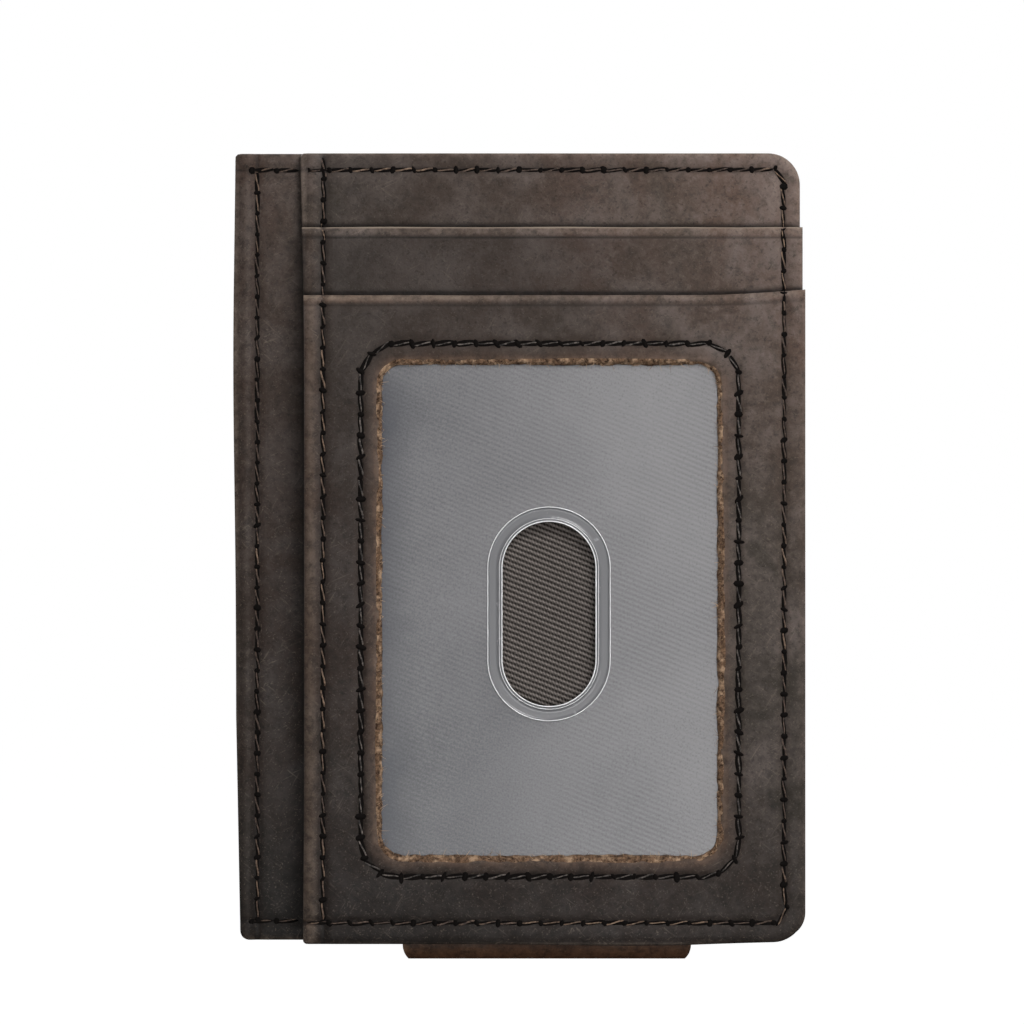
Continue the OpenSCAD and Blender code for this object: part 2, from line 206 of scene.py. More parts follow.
def coat(finish, socket, source):
    """Gives one socket of a finish's shader a pattern or a plain value."""
    target = finish.node_tree.nodes["Principled BSDF"].inputs[socket]
    if isinstance(source, bpy.types.NodeSocket):
        finish.node_tree.links.new(source, target)
    else:
        target.default_value = source


def new_finish(name, colour, roughness, specular=0.5):
    """A plain finish: its colour, roughness and gloss."""
    finish = bpy.data.materials.new(name)
    finish.use_nodes = True
    finish.diffuse_color = (*colour, 1)
    coat(finish, "Base Color", (*colour, 1))
    coat(finish, "Roughness", roughness)
    coat(finish, "Specular IOR Level", specular)
    return finish


def node(finish, kind, links=(), **settings):
    """Adds one node: links are (input, source socket or value)."""
    made_node = finish.node_tree.nodes.new("ShaderNode" + kind)
    for key, value in settings.items():
        setattr(made_node, key, value)
    for socket, source in links:
        if isinstance(source, bpy.types.NodeSocket):
            finish.node_tree.links.new(source, made_node.inputs[socket])
        else:
            made_node.inputs[socket].default_value = source
    return made_node


def place(finish, stretch=(1, 1, 1), turn=(0, 0, 0)):
    """The piece's own coordinates, in metres, stretched and turned."""
    where = node(finish, "TexCoord").outputs["Object"]
    turned = node(finish, "Mapping", [("Vector", where), ("Rotation", turn)])
    return node(finish, "Mapping", [("Vector", turned.outputs[0]), ("Scale", stretch)]).outputs[0]


def cloud(finish, where, scale, detail=3.0, rough=0.55, bend=0.0):
    """Soft patches, scale of them to the metre."""
    return node(finish, "TexNoise", [("Vector", where), ("Scale", scale), ("Detail", detail),
                                     ("Roughness", rough), ("Distortion", bend)]).outputs["Fac"]


def levels(finish, value, low, high, to_low=0.0, to_high=1.0):
    """Stretches low..high to to_low..to_high, and holds it there."""
    return node(finish, "MapRange", [("Value", value), ("From Min", low), ("From Max", high),
                                     ("To Min", to_low), ("To Max", to_high)]).outputs[0]


def maths(finish, what, a, b=0.0):
    """One sum on two values."""
    return node(finish, "Math", [(0, a), (1, b)], operation=what).outputs[0]


def times(finish, a, b):
    """One value times another."""
    return maths(finish, "MULTIPLY", a, b)


def plus(finish, a, b):
    """One value added to another."""
    return maths(finish, "ADD", a, b)


def toned(colour, factor):
    """A plain colour made darker or lighter by a factor."""
    return tuple(c * factor for c in colour)


def stain(finish, amount, under, over):
    """One colour over another, by the amount; each is a plain colour or a pattern."""
    coats = [c if isinstance(c, bpy.types.NodeSocket) else (*c, 1) for c in (under, over)]
    return node(finish, "Mix", [(0, amount), (6, coats[0]), (7, coats[1])], data_type="RGBA").outputs[2]


def deepen(finish, colour, factor):
    """A pattern's colour made darker or lighter by a factor."""
    return node(finish, "VectorMath", [(0, colour), (3, factor)], operation="SCALE").outputs[0]


def relief(finish, height, depth, strength=1.0, over=None):
    """Fine relief of that depth, on top of a coarser one."""
    links = [("Height", height), ("Distance", depth), ("Strength", strength)]
    return node(finish, "Bump", links + ([("Normal", over)] if over else [])).outputs[0]


def waxed_leather(name, brown, smoky, bloom, rubbed, painted_light=1.0):
    """Oily pull-up hide: brown and smoky patches, pores, dust, scratches and rubbed edges.

    faded is how strongly light from the upper right is painted into the colour: lighter towards the upper
    right and darker at the foot.
    """
    finish = new_finish(name, brown, 0.56, 0.22)
    flat, drawn = place(finish), place(finish, (1, 1, 0.4), (0, 0.35, 0))
    broad = cloud(finish, drawn, 34, 4, 0.55, 0.8)
    cloudy = cloud(finish, flat, 130, 5, 0.65, 0.4)
    grain = cloud(finish, flat, 800, 5, 0.7)
    pores = cloud(finish, flat, 2500, 2, 0.5)
    dust = cloud(finish, flat, 4200, 1, 0.5)
    creases = cloud(finish, place(finish, (0.16, 1, 1), (0, -0.2, 0)), 620, 3, 0.6, 0.5)
    colour = stain(finish, levels(finish, broad, 0.4, 0.62), brown, smoky)
    for pattern, low, high, at_low, at_high, over in (
            (cloudy, 0.42, 0.68, 0, 0.8, bloom), (grain, 0.35, 0.5, 0.55, 0, toned(smoky, 0.42)),
            (grain, 0.52, 0.72, 0, 0.45, toned(bloom, 1.25)), (pores, 0.58, 0.72, 0, 0.5, toned(smoky, 0.3))):
        colour = stain(finish, levels(finish, pattern, low, high, at_low, at_high), colour, over)
    # Painted light and shade: the colour grows lighter towards the upper right and darker at the foot, as
    # lamps from the upper right would light it; the broad patches only vary it.
    spot = node(finish, "SeparateXYZ", [(0, flat)])
    rise = times(finish, spot.outputs["Z"], 10.7 * painted_light)
    towards = plus(finish, times(finish, spot.outputs["X"], 10.0 * painted_light), rise)
    towards = plus(finish, towards, levels(finish, broad, 0.3, 0.7, -0.10, 0.10))
    foot = levels(finish, spot.outputs["Z"], 0.002, 0.024, 1 - 0.45 * painted_light, 1)
    painted_light_fall = times(finish, maths(finish, "POWER", 3.2, towards), 0.93 - 0.38 * painted_light)
    colour = deepen(finish, colour, times(finish, painted_light_fall, foot))
    for turn, scale, low in ((0.9, 3600, 0.655), (-0.55, 3100, 0.665), (2.0, 4100, 0.66)):
        lines = cloud(finish, place(finish, (1, 1, 0.09), (0, turn, 0)), scale, 1, 0.5, 0.3)
        depth = levels(finish, cloudy, 0.42, 0.66, 0.05, 0.24)
        scratched = times(finish, levels(finish, lines, low, low + 0.1), depth)
        colour = stain(finish, scratched, colour, rubbed)
    colour = stain(finish, levels(finish, dust, 0.63, 0.76, 0, 0.24), colour, rubbed)
    bared = node(finish, "Attribute", attribute_name="bared", attribute_type="GEOMETRY").outputs["Fac"]
    mottled = times(finish, bared, levels(finish, grain, 0.36, 0.6, 0.35, 1))
    colour = stain(finish, mottled, colour, (rubbed[0] * 0.56, rubbed[1] * 0.42, rubbed[2] * 0.36))
    wear_and_shade = node(finish, "Attribute", attribute_name="wear_and_shade", attribute_type="GEOMETRY").outputs["Fac"]
    patchy = levels(finish, cloudy, 0.34, 0.6, 0.3, 0.75)
    patchy = times(finish, patchy, levels(finish, grain, 0.34, 0.6, 0.2, 1))
    thinned = times(finish, maths(finish, "MAXIMUM", wear_and_shade, 0), patchy)
    bare = maths(finish, "MAXIMUM", thinned, levels(finish, wear_and_shade, 0.72, 0.98, 0, 0.9))
    colour = stain(finish, bare, colour, rubbed)
    # Below zero the worn value darkens the colour towards near black: painted shade in stitch furrows, at
    # pocket mouths and beside the stack, and dark unrubbed wax.
    wax_and_painted_shade = times(finish, levels(finish, wear_and_shade, 0, -1, 0, 0.9), levels(finish, grain, 0.3, 0.55, 0.6, 1))
    coat(finish, "Base Color", stain(finish, wax_and_painted_shade, colour, (0.006, 0.004, 0.003)))
    coat(finish, "Roughness", levels(finish, cloudy, 0.35, 0.7, 0.68, 0.52))
    bumps = relief(finish, cloudy, 0.5 * MM, 0.35)
    for pattern, depth, strength in ((grain, 0.16, 0.6), (creases, 0.14, 0.4), (pores, 0.06, 0.6)):
        bumps = relief(finish, pattern, depth * MM, strength, bumps)
    coat(finish, "Normal", bumps)
    return finish


outer_leather = waxed_leather("waxed_outer_leather", (0.046, 0.029, 0.022), (0.028, 0.022, 0.017),
                              (0.075, 0.058, 0.051), (0.24, 0.188, 0.146))

back_lo, back_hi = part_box("back_panel")
pocket_lo, pocket_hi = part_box("pocket_panel")
base_lo, base_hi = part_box("base_panel")
frame_lo, frame_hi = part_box("window_frame")
corner_r, square_r, foot_r = 4.2 * MM, 0.6 * MM, 1.2 * MM
row_top, row_bottom = back_hi.z - 2.2 * MM, back_lo.z + 2.5 * MM
row_right, row_left = back_hi.x - 2.2 * MM, back_lo.x + 2.8 * MM


def outer_row_gap(x, z):
    """Distance from the row of stitching that runs round the top, the right and the bottom."""
    return abs(ring_gap(x, z, (-1, row_bottom), (row_right, row_top), 2 * MM))


def inside_edge(x, z, lo, hi, r):
    """How far inside the cut edge of a ply a point lies, with its right corners round."""
    return max(0, min(-ring_gap(x, z, (-1, lo.z), (hi.x, hi.z), r), x - lo.x))


def handled(x, z):
    """The open left edge has bowed out a little above the middle and drawn in below."""
    fade = share((-20 * MM - x) / (12 * MM))
    rise = z / back_hi.z
    bow = -0.38 * MM * near(rise - 0.74, 0.22) + 0.62 * MM * max(0, 0.3 - rise) / 0.3
    return bow * fade * fade * (3 - 2 * fade)


def outer_shape(x, z):
    radii = (foot_r, corner_r, corner_r, square_r)
    x, z = cut_round(x, z, (back_lo.x, back_lo.z), (back_hi.x, back_hi.z), radii)
    return x + handled(x, z), z


def back_face(x, z):
    edge = inside_edge(x, z, back_lo, back_hi, corner_r)
    pinch = 0.22 * near(outer_row_gap(x, z), 0.75 * MM) + 0.3 * near(edge, 1.1 * MM)
    pinch += 0.18 * near(x - row_left, 0.75 * MM)
    return back_hi.y - pinch * MM + hide_waves(x, z, 7) + 0.05 * MM


def back_worn(x, z):
    return 0.5 * near(inside_edge(x, z, back_lo, back_hi, corner_r), 0.5 * MM)


across = marks(back_lo.x, (back_hi.x - corner_r, 0.6 * MM), (back_hi.x, 0.45 * MM))
up = marks(back_lo.z, (back_lo.z + corner_r, 0.45 * MM), (back_hi.z - corner_r, 0.6 * MM),
           (back_hi.z, 0.45 * MM))
across, up = closer(across, row_left, row_right), closer(up, row_bottom, row_top)
bm = bmesh.new()
lay_ply(bm, across, up, back_face, at_depth(back_lo.y), outer_shape, wear_and_shade=back_worn)
back_panel = made("back_leather", bm, outer_leather)
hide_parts("back_panel")
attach(back_panel, "wallet")

# ---- Pocket panel -----------------------------------------------------------------------
# The ply that makes the centre pocket with the back panel's front face. Its left part shows
# as the bare strip beside the stack. It is the same leather, sewn along the strip and round.


def painted_row_shade(beside, *others):
    """How much painted shade darkens a row's furrow, from the distances to its upright row and to the others.
    """
    return 0.75 * max(near(beside, 0.28 * MM), *(near(gap, 0.26 * MM) for gap in others))


def strip_face(x, z):
    edge = inside_edge(x, z, pocket_lo, pocket_hi, corner_r)
    puff = 0.32 * near((x - (pocket_lo.x + row_left) / 2 - 0.1 * MM), 0.9 * MM)
    pinch = 0.30 * near(x - row_left, 0.6 * MM) + 0.24 * near(outer_row_gap(x, z), 0.6 * MM)
    pinch += 0.25 * near(edge, 0.5 * MM) - puff
    return pocket_lo.y + pinch * MM - hide_waves(x, z, 2)


def strip_wear_and_shade(x, z):
    edge = inside_edge(x, z, pocket_lo, pocket_hi, corner_r)
    ends = 0.5 * near(min(z - pocket_lo.z, pocket_hi.z - z), 0.4 * MM)
    # Painted shadow darkens the strip beside the stack's edge, a painted highlight lies along the puffed
    # crest near the left edge, and the stitch furrow is painted in shade; the rest is wear.
    painted_stack_shadow = 1.0 * near(max(0, base_lo.x + 0.1 * MM - x), 0.55 * MM)
    painted_crest_highlight = 0.12 * near(x - pocket_lo.x - 1.4 * MM, 0.5 * MM)
    rub = max(0.4 * near(edge, 0.3 * MM), ends, painted_crest_highlight)
    return rub - painted_stack_shadow - painted_row_shade(x - row_left, outer_row_gap(x, z))


stack_left = base_lo.x
across = marks(pocket_lo.x, (stack_left + 1.5 * MM, 0.36 * MM), (pocket_hi.x - corner_r, 3 * MM),
               (pocket_hi.x, 0.45 * MM))
up = marks(pocket_lo.z, (pocket_lo.z + corner_r, 0.45 * MM), (pocket_hi.z - corner_r, 0.5 * MM),
           (pocket_hi.z, 0.45 * MM))
across, up = closer(across, row_left), closer(up, row_bottom, row_top)
glue_gap = 0.02 * MM
bm = bmesh.new()
lay_ply(bm, across, up, strip_face, at_depth(pocket_hi.y - glue_gap), outer_shape, wear_and_shade=strip_wear_and_shade)
pocket_panel = made("pocket_leather", bm, outer_leather)
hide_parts("pocket_panel")
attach(pocket_panel, "wallet")

# ---- Stack lining -----------------------------------------------------------------------
# A sheet of thin black-brown twill glued to the rear of the stack, so that notes and cards
# slide in the centre pocket. It is cut flat and shows only in the pocket's mouth.
rib_slope, rib_apart, float_long = math.radians(22), 0.62 * MM, 0.47 * MM


def woven_twill(name, warp, weft):
    """Coarse twill: ribs that run down to the right, each made of short slanted floats."""
    finish = new_finish(name, warp, 0.8, 0.25)
    wavy = cloud(finish, place(finish), 700, 2)
    slanted = node(finish, "SeparateXYZ", [(0, place(finish, (1, 1, 1), (0, -rib_slope, 0)))])
    ribs = plus(finish, slanted.outputs["Z"], times(finish, wavy, 0.12 * MM))
    ribs = times(finish, ribs, 1 / rib_apart)
    rib = maths(finish, "SINE", times(finish, ribs, 2 * math.pi))
    along = times(finish, slanted.outputs["X"], 1 / float_long)
    stepped = plus(finish, along, times(finish, maths(finish, "FLOOR", ribs), 0.37))
    stepped = plus(finish, stepped, times(finish, ribs, 0.9))
    floats = maths(finish, "SINE", times(finish, stepped, 2 * math.pi))
    height = plus(finish, times(finish, rib, 0.6), times(finish, floats, 0.3))
    fuzz = cloud(finish, place(finish), 5200, 2)
    shade = levels(finish, height, -0.55, 0.75)
    shade = times(finish, shade, levels(finish, fuzz, 0.3, 0.65, 0.55, 1.1))
    coat(finish, "Base Color", stain(finish, shade, weft, warp))
    bumps = relief(finish, height, 0.12 * MM, 0.8)
    coat(finish, "Normal", relief(finish, fuzz, 0.03 * MM, 0.5, bumps))
    return finish


twill = woven_twill("brown_twill", (0.265, 0.232, 0.212), (0.018, 0.014, 0.012))
lining_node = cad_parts["stack_lining"]
lining_node.data.materials.clear()
lining_node.data.materials.append(twill)

# ---- Base panel -------------------------------------------------------------------------
# The rear wall of the card slot, full height, in the same leather as the back. Its margins
# are turned to the front and the rear, which spaces the card slot and the centre pocket.
# Only its top band shows above the slot's mouth.
stack_row = base_lo.x + 2.5 * MM
ply_front = {"base": -2.1 * MM, "slot": -4.15 * MM, "frame": -6.05 * MM}
ply_rear = {"base": -1.2 * MM, "slot": -3.02 * MM, "frame": -5.06 * MM}
card_margin, note_margin = (-3.0 * MM, -2.12 * MM), (-1.18 * MM, -0.05 * MM)
margin_wide = 4 * MM


def base_face(x, z):
    edge = inside_edge(x, z, base_lo, base_hi, corner_r)
    pinch = 0.30 * near(outer_row_gap(x, z), 0.65 * MM) + 0.28 * near(edge, 0.8 * MM)
    pinch += 0.26 * near(x - stack_row, 0.65 * MM)
    return ply_front["base"] + pinch * MM - hide_waves(x, z, 11)


def stack_shape(x, z, lo, hi):
    """The stack's plies share a left edge that is not quite straight."""
    x, z = cut_round(x, z, (lo.x, lo.z), (hi.x, hi.z), (square_r, corner_r, corner_r, square_r))
    fade = share((-20 * MM - x) / (8 * MM))
    bow = (-0.55 * near(z - 106 * MM, 14 * MM) - 0.15 * near(z - 2 * MM, 12 * MM)) * MM
    return x + bow * fade, z


def unrubbed(x, z, rub, darkest):
    """How dark the wax still is where no hand has rubbed it away: most in the upper left."""
    rise, rightward = share((z - 25 * MM) / (50 * MM)), share(x / (34 * MM))
    return (0.12 + darkest * rise * (1 - 0.8 * rightward)) * (1 - min(1, 1.8 * rub))


def base_wear_and_shade(x, z):
    edge = inside_edge(x, z, base_lo, base_hi, corner_r)
    # row is painted shade in the stitch furrows, and mouth painted shade just above the card slot's mouth.
    row = painted_row_shade(x - stack_row, outer_row_gap(x, z))
    mouth = 0.95 * near(max(0, z - slot_hi.z), 0.38 * MM)
    rub = max(0.45 * near(edge, 0.35 * MM), 0.3 * near(x - base_lo.x - 0.9 * MM, 0.8 * MM))
    return rub - row - mouth - unrubbed(x, z, rub, 0.3)


def margin(lo, hi, wide, top=True):
    """Says which part of a ply is its turned margin, open at the top if it makes a mouth."""
    return lambda x, z: (x < lo.x + wide or x > hi.x - wide or z < lo.z + wide
                         or (top and z > hi.z - wide))


slot_lo, slot_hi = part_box("slot_panel")
slot_mouth, id_mouth, strip_end = slot_hi.z, frame_hi.z, slot_lo.z
across = marks(base_lo.x, (base_lo.x + margin_wide, 0.45 * MM), (base_hi.x - corner_r, 0.5 * MM),
               (base_hi.x, 0.42 * MM))
up = marks(base_lo.z, (base_lo.z + margin_wide, 1 * MM), (slot_mouth - 1 * MM, 3 * MM),
           (slot_mouth + 1 * MM, 0.25 * MM), (base_hi.z - corner_r, 0.45 * MM), (base_hi.z, 0.42 * MM))
across, up = closer(across, stack_row, row_right), closer(up, row_top)
bm = bmesh.new()
lay_ply(bm, across, up, base_face, at_depth(ply_rear["base"]),
        lambda x, z: stack_shape(x, z, base_lo, base_hi), wear_and_shade=base_wear_and_shade)
across = marks(base_lo.x, (base_lo.x + margin_wide, 1 * MM), (base_hi.x - margin_wide, 3 * MM),
               (base_hi.x, 0.5 * MM))
up = marks(base_lo.z, (base_lo.z + margin_wide, 0.5 * MM), (slot_mouth, 3 * MM))
lay_ply(bm, across, up, *map(at_depth, card_margin),
        lambda x, z: stack_shape(x, z, base_lo, Vector((base_hi.x, 0, slot_mouth + corner_r))),
        margin(base_lo, Vector((base_hi.x, 0, 1)), margin_wide, False))
up = marks(base_lo.z, (base_lo.z + margin_wide, 0.5 * MM), (base_hi.z - margin_wide, 3 * MM),
           (base_hi.z, 0.5 * MM))
lay_ply(bm, across, up, *map(at_depth, note_margin),
        lambda x, z: stack_shape(x, z, base_lo, base_hi),
        margin(Vector((-1, 0, base_lo.z)), base_hi, margin_wide))
base_panel = made("base_leather", bm, outer_leather)
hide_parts("base_panel")
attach(base_panel, "wallet")

# ---- Slot panel -------------------------------------------------------------------------
# A strip of the leather that makes the card slot. Its upper edge is the slot's mouth, cut
# and creased with a hot iron just below, so the edge is pale and a thin line follows it.
crease_drop = 1.35 * MM


def id_lip(x):
    """Where the ID pocket's mouth is: it lifts a little at the right end."""
    lift = max(0, (x - 22 * MM) / (frame_hi.x - 22 * MM))
    return 0.75 * MM * lift * lift + 0.08 * MM * noise.noise(Vector((x * 80, 9, 0)))


def slot_lip(x):
    """Where the slot's mouth is: nearly level, with the slight waves of a cut edge."""
    return 0.10 * MM * noise.noise(Vector((x * 90, 5, 0)))


def slot_face(x, z):
    drop = slot_hi.z - z
    pinch = 0.30 * near(x - row_right, 0.65 * MM) + 0.30 * near(x - stack_row, 0.65 * MM)
    pinch += 0.12 * near(drop - crease_drop, 0.28 * MM) + 0.18 * near(drop, 0.35 * MM)
    pinch += 0.28 * near(min(x - slot_lo.x, slot_hi.x - x), 0.7 * MM)
    pinch += 0.25 * near(z - strip_end - 1.5 * MM, 0.6 * MM)
    return ply_front["slot"] + pinch * MM - hide_waves(x, z, 19)


def slot_wear_and_shade(x, z):
    drop = slot_hi.z - z
    lip = 1.1 * near(drop - 0.05 * MM, 0.17 * MM) + 0.4 * near(drop - 0.65 * MM, 0.5 * MM)
    # row is painted shade in the stitch furrows, and mouth painted shade just above the ID pocket's mouth,
    # with the creased line's darkening added to it.
    row = painted_row_shade(x - stack_row, x - row_right)
    mouth = 0.95 * near(max(0, z - id_mouth - id_lip(x)), 0.5 * MM)
    mouth += 0.6 * near(drop - crease_drop, 0.16 * MM)
    side = 0.35 * near(x - slot_lo.x - 0.9 * MM, 0.8 * MM)
    rub = min(1, max(lip, side, 0.25 * near(slot_hi.x - x, 0.35 * MM)))
    return rub - row - mouth - unrubbed(x, z, rub, 0.5)


def slot_shape(x, z):
    fade = share((z - strip_end) / (slot_hi.z - strip_end))
    x, z = stack_shape(x, z, Vector((slot_lo.x, 0, -1)), Vector((slot_hi.x, 0, 1)))
    return x, z + slot_lip(x) * fade


across = closer(marks(slot_lo.x, (slot_hi.x, 0.45 * MM)), stack_row, row_right)
up = marks(slot_lo.z, (id_mouth - 1 * MM, 1 * MM), (id_mouth + 1.6 * MM, 0.25 * MM),
           (slot_mouth - 2 * MM, 0.45 * MM), (slot_mouth, 0.2 * MM))
bm = bmesh.new()
lay_ply(bm, across, up, slot_face, at_depth(ply_rear["slot"]), slot_shape, rub=0.2 * MM, wear_and_shade=slot_wear_and_shade)
slot_panel = made("slot_leather", bm, outer_leather)
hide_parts("slot_panel")
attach(slot_panel, "wallet")

# ---- ID lining --------------------------------------------------------------------------
# Twill at the back of the ID pocket, glued flat to the card slot's front wall. Its coarse
# ribs show through the thumb slot, where the cloth's real relief can be seen, and faintly
# through the film.
cloth_lo, cloth_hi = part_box("id_lining")
rim_lo, rim_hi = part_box("thumb_slot_rim")


def twill_face(x, z):
    over = x * math.sin(rib_slope) + z * math.cos(rib_slope)
    along = x * math.cos(rib_slope) - z * math.sin(rib_slope)
    rib = over / rib_apart
    floats = math.sin(2 * math.pi * (along / float_long + 0.37 * math.floor(rib) + 0.9 * rib))
    return cloth_lo.y - (0.06 * math.sin(2 * math.pi * rib) + 0.03 * floats) * MM


def cloth_shape(x, z):
    return cut_round(x, z, (cloth_lo.x, cloth_lo.z), (cloth_hi.x, cloth_hi.z), (0, corner_r, 0, 0))


across = marks(cloth_lo.x, (rim_lo.x, 6 * MM), (rim_hi.x, 0.12 * MM), (cloth_hi.x - corner_r, 5 * MM),
               (cloth_hi.x, 0.6 * MM))
up = marks(cloth_lo.z, (cloth_lo.z + corner_r, 0.6 * MM), (rim_lo.z, 6 * MM), (rim_hi.z, 0.12 * MM),
           (cloth_hi.z, 6 * MM))
bm = bmesh.new()
lay_ply(bm, across, up, twill_face, at_depth(cloth_hi.y), cloth_shape, rub=0)
id_lining = made("id_twill", bm, twill)
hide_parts("id_lining")
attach(id_lining, "wallet")

# ---- Window frame -----------------------------------------------------------------------
# The front ply, with the window cut in it. Its margins are turned under to close the ID
# pocket. The window is cut raw, so a ring of pale brown flesh and loose fibres shows round
# it, and the upper edge is the pocket's mouth, rubbed pale and creased below.
film_lo, film_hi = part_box("window_film")
film_lap = 3.7 * MM
raw_wide = 0.8 * MM
hole_lo = (film_lo.x + film_lap - raw_wide * 0.35, film_lo.z + film_lap - raw_wide * 0.35)
hole_hi = (film_hi.x - film_lap + raw_wide * 0.35, film_hi.z - film_lap + raw_wide * 0.35)
hole_r, window_row, window_row_r = 3.2 * MM, 2.35 * MM, 5.0 * MM
frame_high = Vector((frame_hi.x, 0, 1))  # the frame's outline with its upper corners left square
id_margin = (-5.0 * MM, -3.27 * MM, -4.17 * MM)  # front, rear below the slot panel, rear behind it


def window_row_gap(x, z):
    return abs(ring_gap(x, z, (hole_lo[0] - window_row, hole_lo[1] - window_row),
                        (hole_hi[0] + window_row, hole_hi[1] + window_row), window_row_r))


def frame_face(x, z):
    edge = inside_edge(x, z, frame_lo, frame_high, corner_r)
    drop = frame_hi.z + id_lip(x) - z
    inner = max(0, ring_gap(x, z, hole_lo, hole_hi, hole_r))
    pinch = 0.34 * near(outer_row_gap(x, z), 0.6 * MM) if z < frame_hi.z else 0
    pinch += 0.34 * near(x - stack_row, 0.6 * MM) + 0.36 * near(edge, 0.7 * MM)
    pinch += 0.32 * near(window_row_gap(x, z), 0.6 * MM) + 0.36 * near(inner, 0.75 * MM)
    pinch += 0.14 * near(drop - crease_drop, 0.28 * MM) + 0.22 * near(drop, 0.4 * MM)
    return ply_front["frame"] + pinch * MM - hide_waves(x, z, 23) - 0.03 * MM


def frame_wear_and_shade(x, z):
    drop = frame_hi.z + id_lip(x) - z
    inner = max(0, ring_gap(x, z, hole_lo, hole_hi, hole_r))
    leftward = share((10 * MM - x) / (40 * MM))
    mouth = (0.45 + 0.45 * leftward) * near(drop - 0.3 * MM, 0.5 * MM)
    side = 0.5 * near(x - frame_lo.x - 0.9 * MM, 0.75 * MM)
    edge = 0.28 * near(inside_edge(x, z, frame_lo, frame_high, corner_r), 0.35 * MM)
    # row is painted shade in the stitch furrows.
    row = painted_row_shade(x - stack_row, window_row_gap(x, z), outer_row_gap(x, z))
    crease = 0.4 * near(drop - crease_drop, 0.18 * MM)
    rub = min(1, max(mouth, side, edge, 0.5 * near(inner, 0.6 * MM)))
    return rub - row - crease - unrubbed(x, z, rub, 0.36)


def frame_bared(x, z):
    """Brown shows beside the raw window edge, along the mouth's left half and on the free edge."""
    drop = frame_hi.z + id_lip(x) - z
    inner = max(0, ring_gap(x, z, hole_lo, hole_hi, hole_r))
    leftward = share((2 * MM - x) / (26 * MM))
    side = 0.25 * near(x - frame_lo.x - 0.8 * MM, 0.9 * MM)
    return max(0.55 * near(inner, 1.3 * MM), 0.7 * leftward * near(drop - 0.4 * MM, 0.9 * MM), side)


def frame_foot(x, z):
    """The frame's lower edge sags a little right of the middle and lifts to the corner."""
    low = share((6 * MM - z) / (4 * MM))
    lift = (0.35 * max(0, (x - 22 * MM) / (15 * MM)) - 0.2 * near(x - 14 * MM, 11 * MM)) * low * MM
    x, z = stack_shape(x, z, frame_lo, frame_high)
    return x, z + lift


def frame_shape(x, z):
    lifted = share((z - hole_hi[1] - 1 * MM) / (frame_hi.z - hole_hi[1] - 1 * MM))
    x, z = cut_window(x, z, hole_lo, hole_hi, hole_r, 3.5 * MM)
    x, z = frame_foot(x, z)
    return x, z + id_lip(x) * lifted


def cut_for_window(x, z):
    return not (hole_lo[0] < x < hole_hi[0] and hole_lo[1] < z < hole_hi[1])


rows_across = (stack_row, hole_lo[0] - window_row, hole_hi[0] + window_row, row_right)
rows_up = (row_bottom, hole_lo[1] - window_row, hole_hi[1] + window_row)
across = marks(frame_lo.x, (hole_lo[0], 0.42 * MM), (hole_lo[0] + hole_r, 0.4 * MM),
               (hole_hi[0] - hole_r, 0.55 * MM), (hole_hi[0], 0.4 * MM), (frame_hi.x, 0.42 * MM))
up = marks(frame_lo.z, (hole_lo[1], 0.42 * MM), (hole_lo[1] + hole_r, 0.4 * MM),
           (hole_hi[1] - hole_r, 0.55 * MM), (hole_hi[1], 0.4 * MM), (frame_hi.z - 2 * MM, 0.42 * MM),
           (frame_hi.z, 0.22 * MM))
across, up = closer(across, *rows_across), closer(up, *rows_up)
bm = bmesh.new()
lay_ply(bm, across, up, frame_face, at_depth(ply_rear["frame"]), frame_shape, cut_for_window,
        wear_and_shade=frame_wear_and_shade, bared=frame_bared)
across = marks(frame_lo.x, (frame_lo.x + margin_wide, 1 * MM), (frame_hi.x - margin_wide, 3 * MM),
               (frame_hi.x, 0.5 * MM))
up = marks(frame_lo.z, (frame_lo.z + margin_wide, 0.5 * MM), (strip_end, 3 * MM),
           (frame_hi.z - 0.4 * MM, 1 * MM))
lay_ply(bm, across, up, at_depth(id_margin[0]), lambda x, z: id_margin[1 + (z >= strip_end + 0.1 * MM)],
        frame_foot, margin(frame_lo, frame_high, margin_wide, False))


def round_path(lo, hi, r, s):
    """Point and outward direction at share s of the way round a round-cornered opening."""
    wide, high, turn = hi[0] - lo[0] - 2 * r, hi[1] - lo[1] - 2 * r, math.pi * r / 2
    s = (s % 1) * (2 * wide + 2 * high + 4 * turn)
    corners = ((hi[0] - r, lo[1] + r, -90, high), (hi[0] - r, hi[1] - r, 0, wide),
               (lo[0] + r, hi[1] - r, 90, high), (lo[0] + r, lo[1] + r, 180, wide))
    for cx, cz, start, run in corners:
        if s <= turn:
            a = math.radians(start + 90 * s / turn)
            return cx + r * math.cos(a), cz + r * math.sin(a), math.cos(a), math.sin(a)
        s -= turn
        a = math.radians(start + 90)
        if s <= run:
            return (cx + r * math.cos(a) - math.sin(a) * s, cz + r * math.sin(a) + math.cos(a) * s,
                    math.cos(a), math.sin(a))
        s -= run
    return round_path(lo, hi, r, 0)


